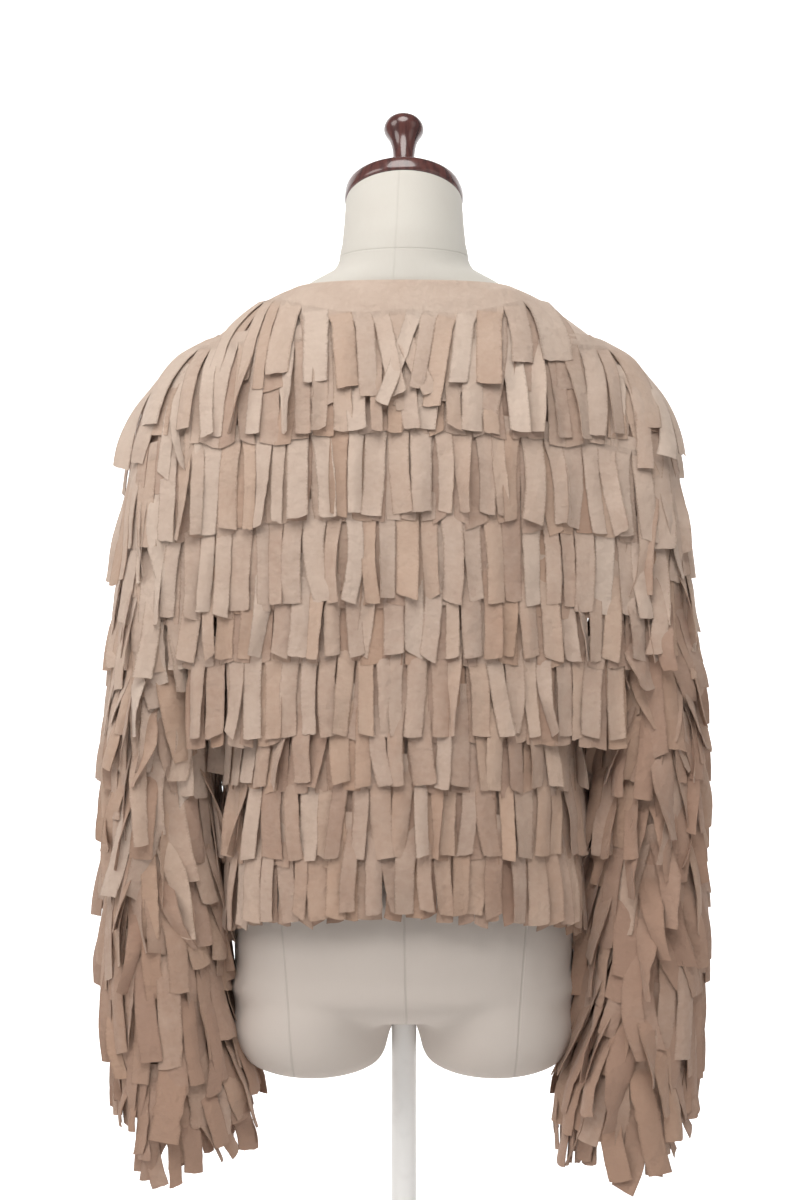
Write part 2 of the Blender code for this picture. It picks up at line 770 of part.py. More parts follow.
def make_form(collection, helpers):
    """Torso with neck and two thigh stubs in one body, with a socket for the pole."""
    form = add_object("dress_form", torso_mesh(), collection, "form linen")
    for mirror in (1, -1):
        leg = bpy.data.objects.new(f"leg_{mirror}", leg_mesh(mirror))
        helpers.objects.link(leg)
        boolean(form, leg, "UNION")
    socket = upright_rod("pole_socket", SOCKET_RADIUS, HUB_HEIGHT, POLE_TOP + SEAT_GAP, helpers)
    boolean(form, socket, "DIFFERENCE")
    for helper in helpers.objects:
        helper.hide_render = True
        helper.display_type = "WIRE"

    neck = NECK_RINGS[-1]
    crown = bpy.data.objects.new("neck_top", None)
    collection.objects.link(crown)
    tilt = math.radians(neck.tilt)
    up = Vector((0, -math.sin(tilt), math.cos(tilt)))
    crown.location = Vector((0, neck.y, neck.z)) + up * SEAT_GAP
    crown.rotation_euler = (tilt, 0, 0)
    cap = turned("neck_cap", CAP_PROFILE, collection, "dark wood", 24)
    knob = turned("neck_knob", KNOB_PROFILE, collection, "dark wood", 16)
    knob.location = (0, 0, CAP_PROFILE[-1][1] + SEAT_GAP)
    for piece in (cap, knob):
        piece.parent = crown


def make_stand(collection):
    pole = upright_rod("stand_pole", POLE_RADIUS, BASE_THICKNESS + SEAT_GAP, POLE_TOP, collection)
    pole.data.materials.append(material("stand enamel"))
    turned("stand_base", BASE_PROFILE, collection, "stand enamel", 24)


def main():
    clear_scene()
    jacket = bpy.data.collections.new("fringed jacket on a dress form")
    helpers = bpy.data.collections.new("cutters")
    for collection in (jacket, helpers):
        bpy.context.scene.collection.children.link(collection)
    body, sleeve = body_sheet(), sleeve_sheet()
    make_panels(body, sleeve, jacket)
    make_collar_fringe(body, jacket)
    make_body_fringe(body, jacket)
    make_sleeve_fringe(sleeve, jacket)
    make_form(jacket, helpers)
    make_stand(jacket)


main()
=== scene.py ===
"""The looks of a short fringed jacket on a dress form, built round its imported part.

Metres, +Z up. The jacket's front faces -Y. Left and right are the wearer's: left is +X.
"""

import json
import math
from typing import NamedTuple

import bmesh
import bpy
import numpy as np
from mathutils import Matrix, Vector

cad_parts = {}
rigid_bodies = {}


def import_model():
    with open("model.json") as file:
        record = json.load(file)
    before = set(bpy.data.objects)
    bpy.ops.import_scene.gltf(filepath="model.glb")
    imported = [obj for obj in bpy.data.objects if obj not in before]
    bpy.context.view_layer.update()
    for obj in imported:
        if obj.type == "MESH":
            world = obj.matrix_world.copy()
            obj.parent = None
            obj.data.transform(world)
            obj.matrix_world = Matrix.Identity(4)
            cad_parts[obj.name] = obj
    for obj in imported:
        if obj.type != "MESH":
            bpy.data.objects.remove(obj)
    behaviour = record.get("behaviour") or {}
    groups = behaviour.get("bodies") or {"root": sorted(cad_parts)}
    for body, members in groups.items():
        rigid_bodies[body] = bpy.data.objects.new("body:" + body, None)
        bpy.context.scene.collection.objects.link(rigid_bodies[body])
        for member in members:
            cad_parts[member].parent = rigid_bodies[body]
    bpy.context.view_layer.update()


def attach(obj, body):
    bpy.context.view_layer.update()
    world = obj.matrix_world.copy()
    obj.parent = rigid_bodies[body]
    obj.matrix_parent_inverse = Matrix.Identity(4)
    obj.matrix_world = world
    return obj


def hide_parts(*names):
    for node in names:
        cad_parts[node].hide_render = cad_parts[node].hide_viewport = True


bl_info = {
    "name": "Fringed Jacket on a Dress Form",
    "version": (1, 0, 0),
    "blender": (4, 5, 0),
    "location": "3D View > Sidebar > Jacket",
    "description": "Dresses a form in a short jacket covered in rows of cut fringe",
    "category": "Add Mesh",
}

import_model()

# ---------------------------------------------------------------- the part's own sizes
SEAT_GAP = 0.0003  # between hard pieces that rest on each other
SEAM_MARGIN = 0.0017  # from a panel's edge to its seam line, in quarters of the body
ARMHOLE_EASE = 0.0033  # from the body's surface to the sleeve's edge
ARMHOLE_TURNING = 0.0050  # how far the sleeve's cloth goes on under the body's
NECKLINE_Z = 0.998
SHOULDER_TIP_Z = 0.9945  # where the fronts run out in a point beside the neck
FRONT_NECK_DROP = 0.078
FRONT_GAP_TOP = 0.010
FRONT_GAP_HEM = 0.022
HEM_Z = 0.425
ARMHOLE_Z = 0.8475
ARMHOLE_HALF_HEIGHT = 0.1025
ARMHOLE_HALF_DEPTH = 0.062
ROW_MARGIN = 0.012  # from a row's end to the edge of its panel, in quarters of the body
COLLAR_INSET = 0.002
POLE_RADIUS = 0.0125
POLE_TOP = 0.348
BASE_RADIUS = 0.165
BASE_THICKNESS = 0.012
HUB_RADIUS = 0.024
HUB_HEIGHT = 0.040
SIDES = (("left", 1), ("right", -1))  # with what mirrors the left one


class BodyRing(NamedTuple):
    """A level section of the jacket's body or of the dress form."""

    z: float
    half_width: float
    back_depth: float
    front_depth: float
    squareness: float  # exponent of the superellipse, 2 is an ellipse


BODY_RINGS = (
    BodyRing(0.425, 0.1730, 0.1370, 0.1240, 2.5),
    BodyRing(0.500, 0.1730, 0.1340, 0.1270, 2.5),
    BodyRing(0.600, 0.1735, 0.1260, 0.1310, 2.5),
    BodyRing(0.700, 0.1750, 0.1190, 0.1370, 2.6),
    BodyRing(0.760, 0.1775, 0.1160, 0.1370, 2.7),
    BodyRing(0.820, 0.1830, 0.1110, 0.1260, 2.7),
    BodyRing(0.880, 0.1890, 0.1010, 0.1080, 2.6),
    BodyRing(0.920, 0.1925, 0.0880, 0.0920, 2.5),
    BodyRing(0.945, 0.1890, 0.0760, 0.0790, 2.4),
    BodyRing(0.960, 0.1710, 0.0700, 0.0710, 2.3),
    BodyRing(0.975, 0.1500, 0.0660, 0.0650, 2.2),
    BodyRing(0.988, 0.1300, 0.0640, 0.0600, 2.1),
    BodyRing(0.998, 0.1080, 0.0630, 0.0570, 2.0),
)
TORSO_RINGS = (
    BodyRing(0.281, 0.1440, 0.0880, 0.0780, 2.3),
    BodyRing(0.292, 0.1640, 0.1080, 0.0930, 2.3),
    BodyRing(0.330, 0.1685, 0.1200, 0.0980, 2.3),
    BodyRing(0.375, 0.1690, 0.1240, 0.0990, 2.3),
    BodyRing(0.430, 0.1640, 0.1170, 0.0990, 2.3),
    BodyRing(0.500, 0.1400, 0.0950, 0.0950, 2.2),
    BodyRing(0.570, 0.1200, 0.0800, 0.0870, 2.2),
    BodyRing(0.640, 0.1260, 0.0830, 0.0960, 2.2),
    BodyRing(0.745, 0.1470, 0.0980, 0.1250, 2.3),
    BodyRing(0.800, 0.1520, 0.1000, 0.1130, 2.4),
    BodyRing(0.860, 0.1580, 0.0970, 0.0960, 2.6),
    BodyRing(0.910, 0.1700, 0.0870, 0.0850, 2.5),
    BodyRing(0.940, 0.1770, 0.0750, 0.0750, 2.4),
    BodyRing(0.960, 0.1680, 0.0675, 0.0685, 2.3),
    BodyRing(0.975, 0.1470, 0.0640, 0.0628, 2.2),
    BodyRing(0.988, 0.1268, 0.0618, 0.0575, 2.1),
    BodyRing(0.998, 0.1040, 0.0605, 0.0560, 2.0),
    BodyRing(1.008, 0.0870, 0.0600, 0.0580, 2.0),
    BodyRing(1.016, 0.0710, 0.0595, 0.0600, 2.0),
    BodyRing(1.027, 0.0645, 0.0588, 0.0625, 2.0),
)


class NeckRing(NamedTuple):
    """A round section of the neck, which leans forward: tilt is from level, in degrees."""

    y: float
    z: float
    radius: float
    tilt: float


NECK_RINGS = (
    NeckRing(-0.005, 1.043, 0.0618, 7.0),
    NeckRing(-0.0135, 1.065, 0.0600, 15.0),
    NeckRing(-0.024, 1.089, 0.0588, 22.5),
)


class LegRing(NamedTuple):
    """A level section of a thigh stub."""

    z: float
    middle_x: float
    half_width: float
    half_depth: float


THIGH_Y = 0.008
LEG_RINGS = (
    LegRing(0.226, 0.0880, 0.0440, 0.0640),
    LegRing(0.231, 0.0890, 0.0610, 0.0800),
    LegRing(0.240, 0.0900, 0.0705, 0.0900),
    LegRing(0.254, 0.0920, 0.0760, 0.0965),
    LegRing(0.270, 0.0900, 0.0795, 0.0990),
    LegRing(0.284, 0.0860, 0.0805, 0.1000),
    LegRing(0.300, 0.0800, 0.0820, 0.0980),
    LegRing(0.318, 0.0790, 0.0760, 0.0900),
)
HIP_RINGS = (  # inside the two, up to the hip's side, so that there is no fold between them
    LegRing(0.258, 0.1130, 0.0552, 0.0700),
    LegRing(0.342, 0.1130, 0.0552, 0.0700),
)


class SleeveStation(NamedTuple):
    """A section across the left sleeve, from its outer point to its inner point."""

    number: float
    outer_x: float
    outer_z: float
    inner_x: float
    inner_z: float
    middle_y: float
    half_depth: float


SLEEVE_STATIONS = (
    SleeveStation(0, 0.1900, 0.950, 0.1780, 0.745, 0.000, 0.062),
    SleeveStation(1, 0.2240, 0.926, 0.1900, 0.722, 0.002, 0.065),
    SleeveStation(2, 0.2510, 0.887, 0.1960, 0.697, 0.004, 0.067),
    SleeveStation(3, 0.2660, 0.830, 0.1985, 0.668, 0.006, 0.067),
    SleeveStation(4, 0.2720, 0.756, 0.1990, 0.636, 0.008, 0.066),
    SleeveStation(5, 0.2770, 0.684, 0.1990, 0.600, 0.010, 0.065),
    SleeveStation(6, 0.2830, 0.604, 0.1990, 0.555, 0.012, 0.064),
    SleeveStation(7, 0.2865, 0.522, 0.1990, 0.495, 0.015, 0.064),
    SleeveStation(8, 0.2880, 0.442, 0.1985, 0.428, 0.018, 0.064),
    SleeveStation(9, 0.2880, 0.368, 0.1970, 0.362, 0.021, 0.064),
    SleeveStation(10, 0.2860, 0.292, 0.1935, 0.290, 0.024, 0.064),
    SleeveStation(11, 0.2750, 0.208, 0.1730, 0.208, 0.028, 0.062),
)


class FringeRow(NamedTuple):
    """A row of fringe round the body, with the heights of its top edge at the middle and at the sides."""

    back_z: float
    side_z: float
    length: float


BACK_ROWS = (
    FringeRow(0.938, 0.932, 0.098),
    FringeRow(0.866, 0.862, 0.098),
    FringeRow(0.786, 0.786, 0.098),
    FringeRow(0.734, 0.730, 0.098),
    FringeRow(0.660, 0.652, 0.098),
    FringeRow(0.610, 0.598, 0.096),
    FringeRow(0.544, 0.528, 0.096),
    FringeRow(0.492, 0.450, 0.096),
)
FRONT_ROWS = BACK_ROWS[1:]


class SleeveRow(NamedTuple):
    """A row of fringe round the sleeve, with the rows in between below it."""

    outer_z: float  # height of its top edge
    inner_z: float
    length: float
    between: tuple  # how far down to the next row they are sewn
    left_tone: float  # from the pale to the deep dye
    right_tone: float


# Painted shade: the tones deepen down each sleeve and are deeper on the right one, away from the light from
# above and the left.
SLEEVE_ROWS = (
    SleeveRow(0.914, 0.905, 0.114, (0.12,), 0.02, 0.20),
    SleeveRow(0.826, 0.770, 0.106, (0.12,), 0.10, 0.34),
    SleeveRow(0.750, 0.700, 0.108, (0.12, 0.34, 0.62), 0.22, 0.66),
    SleeveRow(0.668, 0.636, 0.110, (0.10, 0.34, 0.62), 0.34, 0.92),
    SleeveRow(0.578, 0.560, 0.112, (0.10, 0.36, 0.66), 0.50, 0.98),
    SleeveRow(0.480, 0.468, 0.112, (0.10, 0.36, 0.66), 0.76, 1.08),
    SleeveRow(0.372, 0.366, 0.114, (0.10, 0.36, 0.66), 0.96, 1.08),
    SleeveRow(0.254, 0.254, 0.114, (0.35, 0.80), 1.04, 1.08),
)
LAST_SPACING = 0.036  # of the rows in between below the last row
SLEEVE_LAYER_TONES = (0.00, 0.28, 0.16, 0.24)  # how much deeper each layer of a row is made, as painted shade on the rows in between


class WideRow(NamedTuple):
    """A row of the back that goes on over the sleeve heads, with the columns where it ends."""

    back_z: float
    side_z: float
    length: float
    right_end: float
    left_end: float


WIDE_ROWS = (
    WideRow(0.954, 0.941, 0.112, -1.00, 1.00),
    WideRow(0.866, 0.825, 0.099, -0.90, 0.90),
    WideRow(0.786, 0.750, 0.099, -0.80, 0.86),
    WideRow(0.734, 0.716, 0.099, -0.72, 0.72),
    WideRow(0.660, 0.638, 0.099, -0.66, 0.64),
)
PLAIN_SHOULDER = 1.36  # how far round the neckline the collar has no strips
TANGLED_SLEEVE_ROWS = 5
OPEN_SLEEVE_ROWS = 2  # the rows beside the shoulder leave the inner side of the arm bare
SLEEVE_ROW_INSET = 0.006  # from the armhole's edge
OPEN_ROW_SPAN = (-0.17, 0.67)
OPEN_ROW_STAY = (-0.20, 0.70)  # the columns that its strips don't sway past
ALL_ROUND = (-0.25, 0.75)  # from the underarm round the sleeve, and back to it
ANYWHERE = (-9, 9)


class CuffCut(NamedTuple):
    """How much shorter the last strips of a sleeve are cut behind, and how much more at its two sides."""

    behind: float
    outer_rise: float
    inner_rise: float


CUFF_CUTS = {"left": CuffCut(0.008, 0.082, 0.034), "right": CuffCut(0.011, 0.060, 0.016)}


class CollarStrip(NamedTuple):
    """A strip of the collar across the back, from the cut at its right."""

    cut_x: float
    sway: float
    length: float
    twist: float
    order: float


COLLAR_STRIPS = (
    CollarStrip(-0.1455, 0.002, 0.078, 0.12, 0.0030),
    CollarStrip(-0.1296, -0.004, 0.070, 0.10, 0.0010),
    CollarStrip(-0.1131, -0.006, 0.086, -0.10, 0.0010),
    CollarStrip(-0.0919, -0.004, 0.082, 0.16, 0.0030),
    CollarStrip(-0.0735, -0.004, 0.104, -0.30, 0.0000),
    CollarStrip(-0.0513, 0.000, 0.088, 0.15, 0.0020),
    CollarStrip(-0.0290, 0.022, 0.108, -0.20, 0.0032),
    CollarStrip(-0.0048, -0.026, 0.098, 0.20, 0.0006),
    CollarStrip(0.0251, -0.003, 0.094, -0.08, 0.0022),
    CollarStrip(0.0498, 0.010, 0.094, 0.12, 0.0012),
    CollarStrip(0.0725, 0.006, 0.086, 0.10, 0.0000),
    CollarStrip(0.0948, 0.006, 0.084, 0.14, 0.0020),
    CollarStrip(0.1160, 0.008, 0.082, 0.10, 0.0010),
)
LAST_CUT_X = 0.1315  # at the left of the last of them
LEFT_SHOULDER_CUTS = (0.055, 0.110, 0.165)  # columns from there to the next cuts

CAP_PROFILE = (  # radius, height above the top of the neck
    (0.0000, 0.0000),
    (0.0560, 0.0000),
    (0.0588, 0.0006),
    (0.0597, 0.0022),
    (0.0601, 0.0045),
    (0.0601, 0.0095),
    (0.0597, 0.0130),
    (0.0589, 0.0150),
    (0.0574, 0.0164),
    (0.0545, 0.0174),
    (0.0480, 0.0190),
    (0.0400, 0.0212),
    (0.0300, 0.0240),
    (0.0200, 0.0263),
    (0.0100, 0.0273),
    (0.0000, 0.0275),
)
KNOB_PROFILE = (  # radius, height above the top of the cap
    (0.0000, 0.0000),
    (0.0150, 0.0000),
    (0.0147, 0.0012),
    (0.0134, 0.0055),
    (0.0122, 0.0120),
    (0.0114, 0.0190),
    (0.0112, 0.0260),
    (0.0114, 0.0320),
    (0.0120, 0.0380),
    (0.0132, 0.0440),
    (0.0150, 0.0490),
    (0.0172, 0.0530),
    (0.0190, 0.0560),
    (0.0202, 0.0590),
    (0.0206, 0.0620),
    (0.0202, 0.0650),
    (0.0191, 0.0680),
    (0.0178, 0.0697),
    (0.0172, 0.0702),
    (0.0164, 0.0712),
    (0.0135, 0.0728),
    (0.0090, 0.0739),
    (0.0045, 0.0744),
    (0.0000, 0.0745),
)
BASE_PROFILE = (  # radius, height above the floor
    (0.0000, 0.0000),
    (BASE_RADIUS - 0.002, 0.0000),
    (BASE_RADIUS - 0.0006, 0.0006),
    (BASE_RADIUS, 0.0020),
    (BASE_RADIUS, 0.0070),
    (BASE_RADIUS - 0.0012, 0.0092),
    (BASE_RADIUS - 0.0045, 0.0104),
    (BASE_RADIUS - 0.010, 0.0108),
    (HUB_RADIUS + 0.016, 0.0118),
    (HUB_RADIUS + 0.010, BASE_THICKNESS),
    (HUB_RADIUS + 0.004, 0.0134),
    (HUB_RADIUS + 0.001, 0.0165),
    (HUB_RADIUS - 0.001, 0.0260),
    (HUB_RADIUS - 0.002, HUB_HEIGHT - 0.004),
    (HUB_RADIUS - 0.003, HUB_HEIGHT - 0.0012),
    (HUB_RADIUS - 0.0055, HUB_HEIGHT),
    (POLE_RADIUS + SEAT_GAP, HUB_HEIGHT),
    (POLE_RADIUS + SEAT_GAP, BASE_THICKNESS),
    (0.0000, BASE_THICKNESS),
)


# ---------------------------------------------------------------- sizes and colours to change
def length_property(name, description, default):
    """A length in metres."""
    return bpy.props.FloatProperty(name=name, description=description, default=default, unit="LENGTH")


def colour_property(name, description, default):
    """A colour that nothing shows through."""
    return bpy.props.FloatVectorProperty(
        name=name, description=description, default=(*default, 1.0), size=4, subtype="COLOR"
    )


def number_property(name, description, default, **more):
    """A strength or a share, with its subtype where one fits."""
    return bpy.props.FloatProperty(name=name, description=description, default=default, **more)


class ClothSettings(bpy.types.PropertyGroup):
    """The jacket's cloth."""

    thickness: length_property("Thickness", "Thickness of the five panels", 0.0008)
    crease: length_property("Crease depth", "Depth of the main creases", 0.0045)
    pale: colour_property("Pale dye", "Colour of the palest cloth", (0.642, 0.526, 0.443))
    # The ramp to the deep dye carries the cloth's own tones and painted shade: lower rows, lower layers, the
    # right sleeve and the cloth under the fringe.
    deep: colour_property("Deep dye", "Colour of the most tanned cloth", (0.366, 0.234, 0.173))
    # The tan is partly the strips' own dye and partly painted warm light that bounces between strips; it
    # goes to strips at random.
    tan: colour_property("Tan", "Colour of the warmest strips", (0.520, 0.335, 0.228))


class FringeSettings(bpy.types.PropertyGroup):
    """The strips that the rows are cut into."""

    width: length_property("Strip width", "Usual width of a strip", 0.0178)
    thickness: length_property("Strip thickness", "Thickness of a strip", 0.0007)
    flare: number_property("Flare", "How fast a strip leaves the cloth, per metre of its length", 0.045)
    band: length_property("Band height", "Height of the uncut band of a row", 0.012)
    collar_band: length_property("Collar band height", "Height of the collar's plain band", 0.030)
    collar_length: length_property("Collar strip length", "Length of a collar strip with its band", 0.128)


class FormSettings(bpy.types.PropertyGroup):
    """The dress form's cover."""

    linen: colour_property("Linen", "Colour of the form's cover", (0.665, 0.648, 0.595))
    # The hip colour is painted shade: the cover made darker low on the form, under the jacket.
    hip_shade: colour_property("Linen in hip shade", "Colour of the cover over the hips", (0.590, 0.530, 0.485))
    seam_width: length_property("Seam width", "Width of a seam's groove", 0.0016)


class StandSettings(bpy.types.PropertyGroup):
    """The turned wood above the form and the metal stand below it."""

    stain: colour_property("Wood stain", "Colour of the wood", (0.120, 0.040, 0.034))
    grain: colour_property("Wood grain", "Colour of the dark grain", (0.062, 0.021, 0.020))
    enamel: colour_property("Enamel", "Colour of the stand", (0.930, 0.925, 0.915))
    facets: bpy.props.IntProperty(name="Steps", description="Steps round a turned piece", default=96, min=24)


class StageSettings(bpy.types.PropertyGroup):
    """Floor, lights and camera."""

    floor: colour_property("Floor", "Colour of the floor and the sweep behind it", (0.90, 0.90, 0.90))
    glow: number_property("Sweep glow", "Light that the sweep gives off", 0.85)
    key: number_property("Key light", "Strength of the light from above", 54.0, subtype="POWER")
    fill: number_property("Fill light", "Strength of the light from the sides", 9.0, subtype="POWER")
    sky: number_property("Room light", "Strength of the light from all round", 0.20)
    lens: number_property("Lens", "Focal length on a 36 mm frame", 60.0, subtype="DISTANCE_CAMERA")
    distance: length_property("Camera distance", "From the middle of the form", 2.0)
    eye_height: length_property("Camera height", "Height of the camera above the floor", 0.688)


# ---------------------------------------------------------------- finishes
class Signal:
    """One socket of a finish, on which Python's operators work."""

    def __init__(self, finish, socket):
        self.finish, self.socket = finish, socket

    def maths(self, operation, *others):
        """What a Math node makes of this value and the others."""
        values = dict(enumerate((self, *others)))
        return self.finish.node("ShaderNodeMath", {"operation": operation}, values)

    def after(self, operation, other):
        """The same with the other value first."""
        return self.finish.node("ShaderNodeMath", {"operation": operation}, {0: other, 1: self})

    def __add__(self, other):
        return self.maths("ADD", other)

    def __sub__(self, other):
        return self.maths("SUBTRACT", other)

    def __rsub__(self, other):
        return self.after("SUBTRACT", other)

    def __mul__(self, other):
        return self.maths("MULTIPLY", other)

    def __abs__(self):
        return self.maths("ABSOLUTE")

    __radd__ = __add__
    __rmul__ = __mul__

    def between(self, low, high):
        """This value as a share of the way from low to high, kept from 0 to 1."""
        values = {0: self, 1: low, 2: high}
        return self.finish.node("ShaderNodeMapRange", {"interpolation_type": "SMOOTHSTEP"}, values)


class Finish:
    """A material that is put together from signals."""

    def __init__(self, name):
        self.material = bpy.data.materials.new(name)
        self.material.use_nodes = True
        self.tree = self.material.node_tree
        self.surface = self.tree.nodes["Principled BSDF"]

    def node(self, kind, settings=None, values=None, output=0):
        """A new node with its settings, and then the values or signals of its sockets."""
        made = self.tree.nodes.new(kind)
        for name, setting in (settings or {}).items():
            setattr(made, name, setting)
        self.feed(made, values or {})
        return Signal(self, made.outputs[output])

    def feed(self, node, values):
        """Link the sockets of a node to signals, or set them to constants."""
        for name, value in values.items():
            if isinstance(value, Signal):
                self.tree.links.new(value.socket, node.inputs[name])
            else:
                node.inputs[name].default_value = value

    def mark(self, name):
        """A number that the mesh carries at its points."""
        return self.node("ShaderNodeAttribute", {"attribute_name": name}, output="Fac")

    def place(self):
        """Where a point of the piece is, in metres."""
        return self.node("ShaderNodeTexCoord", output="Object")

    def axes(self):
        """The place's x, y and z."""
        split = self.node("ShaderNodeSeparateXYZ", values={0: self.place()}).socket.node
        return [Signal(self, out) for out in split.outputs]

    def noise(self, size, detail=2.0, stretch=(1, 1, 1)):
        """Cloudy noise whose spots are about size metres."""
        scaled = {"operation": "MULTIPLY"}
        place = self.node("ShaderNodeVectorMath", scaled, {0: self.place(), 1: stretch})
        values = {"Vector": place, "Scale": 1 / size, "Detail": detail}
        return self.node("ShaderNodeTexNoise", values=values)

    def mix(self, amount, first, second):
        """The first colour going over to the second."""
        values = {0: amount, 6: first, 7: second}
        return self.node("ShaderNodeMix", {"data_type": "RGBA"}, values, output=2)

    def bump(self, height, distance, strength):
        """A relief that is distance metres deep where the height is 1."""
        values = {"Height": height, "Distance": distance, "Strength": strength}
        return self.node("ShaderNodeBump", values=values)

    def done(self, **values):
        """The material, once its surface has these values."""
        self.feed(self.surface, {name.replace("_", " "): value for name, value in values.items()})
        return self.material


def shaded(colour, share, warmth=0.0):
    """A colour made darker, and redder where warmth is above 0."""
    red, green, blue = colour[:3]
    return (red * share, green * share * (1 - warmth / 2), blue * share * (1 - warmth), 1.0)


def weave(across, along, pitch):
    """The threads of a plain weave, whose pitch is in metres."""
    return (across * (2 * math.pi / pitch)).maths("SINE") * (along * (2 * math.pi / pitch)).maths("SINE")


def suedette(name, cloth, strips):
    """Soft woven cloth, brushed matt. Strips carry their tone, partly dye and partly painted shade, and the
    place across and along them.
    """
    finish = Finish(name)
    pale, deep = tuple(cloth.pale), tuple(cloth.deep)
    cloud = finish.noise(0.035, 3.0)
    mottle = finish.noise(0.006)
    nap = finish.noise(0.0011)
    dents = finish.noise(0.013)
    rumples = finish.noise(0.005, 1.0, (0.6, 0.6, 1.5))
    dye = (cloud - 0.5) * 0.50 + (mottle - 0.5) * 0.30
    texture = nap * 0.5
    if strips:
        tone, across, along, warmth = (finish.mark(mark) for mark in ("tone", "across", "along", "warmth"))
        texture = texture + weave(across, along, 0.0008) * 0.25
        colour = finish.mix((dye + tone).between(-0.3, 1.3), pale, deep)
        # Partly dye, partly painted warm bounce light: tan on strips chosen at random, most on the middle
        # tones.
        colour = finish.mix(warmth * tone * (1.45 - tone) * 0.85, colour, tuple(cloth.tan))
        fray = finish.noise(0.0016)
        rim = (finish.mark("rim") + 0.5 * (fray - 0.5)).between(0.80, 1.05)
        colour = finish.mix(rim * 0.42, colour, shaded(cloth.deep, 0.60, 0.10))
    else:
        # Painted shade: below the shoulders, where the fringe hangs over them, the panels are made deeper,
        # so the gaps between strips look darker.
        covered = 1 - finish.axes()[2].between(0.90, 0.93)
        colour = finish.mix((dye + 0.12 + 0.7 * covered).between(-0.3, 1.3), pale, deep)
    return finish.done(
        Base_Color=colour,
        Roughness=0.84 + 0.10 * mottle,
        Specular_IOR_Level=0.18,
        Sheen_Weight=0.22,
        Sheen_Roughness=0.55,
        Sheen_Tint=(1.0, 0.90, 0.82, 1.0),
        Normal=finish.bump(texture + rumples * 0.7 + dents * 10.0, 0.0004, 0.80),
    )


def stretched_linen(name, form):
    """Cream linen pulled smooth over the form, with the grooves of its seams and painted shade over the
    hips.
    """
    finish = Finish(name)
    x, y, z = finish.axes()
    threads = weave(x, z, 0.0009)
    cloud = finish.noise(0.05, 3.0)
    thread = finish.noise(0.0022, 2.0, (1, 1, 0.25))
    width = form.seam_width
    behind = y.between(-0.005, 0.005)
    below = 1 - z.between(0.55, 0.60)
    princess = abs(abs(x) - (0.1105 + (z - 0.30) * 0.075)).between(width, width * 0.2)
    middle = abs(x + 0.0005 - (z - 0.36) * 0.02).between(width, width * 0.2)
    neck_line = abs(z - 1.0298).between(width * 0.8, width * 0.1)
    neck_back = abs(x - 0.0085 + (z - 1.03) * 0.05).between(width, width * 0.2)
    neck_back = neck_back * z.between(0.9, 0.95)
    seams = behind * (princess * below * 0.9 + middle * below)
    seams = seams + neck_line * 0.6 + behind * neck_back * 0.45
    # Painted shade: below z 0.55 the cover takes the darker hip colour, going over to it from z 0.60.
    cover = finish.mix(below, tuple(form.linen), tuple(form.hip_shade))
    colour = finish.mix(0.30 * cloud + 0.12 * thread, cover, shaded(form.hip_shade, 0.95, 0.03))
    colour = finish.mix(seams.between(0.0, 1.0) * 0.22, colour, shaded(form.linen, 0.42, 0.12))
    return finish.done(
        Base_Color=colour,
        Roughness=0.80 + 0.10 * thread,
        Specular_IOR_Level=0.25,
        Sheen_Weight=0.10,
        Normal=finish.bump(0.10 * threads + 0.30 * thread - 1.6 * seams, 0.0006, 0.5),
    )


def varnished_wood(name, stand):
    """Turned wood, stained red-brown and varnished."""
    finish = Finish(name)
    grain = finish.noise(0.005, 3.0, (1, 1, 0.10))
    pores = finish.noise(0.0010, 2.0, (1, 1, 0.06))
    colour = finish.mix(grain.between(0.35, 0.72), tuple(stand.stain), tuple(stand.grain))
    colour = finish.mix(pores.between(0.58, 0.75) * 0.3, colour, shaded(stand.grain, 0.7))
    return finish.done(
        Base_Color=colour,
        Roughness=0.20 + 0.10 * pores,
        Specular_IOR_Level=0.55,
        Coat_Weight=0.75,
        Coat_Roughness=0.07,
        Normal=finish.bump(grain + 0.4 * pores, 0.0003, 0.25),
    )


def baked_enamel(name, stand):
    """Smooth off-white enamel, a little rubbed."""
    finish = Finish(name)
    ripple = finish.noise(0.004)
    scuff = finish.noise(0.02, 5.0)
    worn = shaded(stand.enamel, 0.80)
    colour = finish.mix(scuff.between(0.52, 0.78) * 0.25, tuple(stand.enamel), worn)
    return finish.done(
        Base_Color=colour,
        Roughness=0.28 + 0.20 * scuff,
        Specular_IOR_Level=0.5,
        Normal=finish.bump(ripple, 0.0003, 0.3),
    )


def studio_paper(name, stage):
    """Pale paper of the floor and the sweep."""
    finish = Finish(name)
    tooth = finish.noise(0.003)
    behind = finish.axes()[1].between(-0.10, -0.40)
    colour = finish.mix(0.06 * tooth, tuple(stage.floor), shaded(stage.floor, 0.94))
    return finish.done(
        Base_Color=colour,
        Roughness=0.92,
        Specular_IOR_Level=0.1,
        Emission_Color=finish.mix(behind, shaded(stage.floor, 0.08), tuple(stage.floor)),
        Emission_Strength=stage.glow,
    )


# ---------------------------------------------------------------- curves and surfaces
def smooth_column(rows, column, at):
    """A column of a table as a smooth curve of its first column, read at the values given."""
    place = np.array([row[0] for row in rows], float)
    value = np.array([getattr(row, column) for row in rows], float)
    slope = np.gradient(value, place)
    i = np.clip(np.searchsorted(place, at) - 1, 0, len(place) - 2)
    step = place[i + 1] - place[i]
    t = np.clip((at - place[i]) / step, 0, 1)
    rise = t * t * (3 - 2 * t)
    return (
        value[i] * (1 - rise)
        + value[i + 1] * rise
        + step * slope[i] * t * (1 - t) ** 2
        - step * slope[i + 1] * t * t * (1 - t)
    )


def section(rows, at, columns):
    """Several columns of a table as smooth curves, read at the values given."""
    return [smooth_column(rows, column, at) for column in columns]


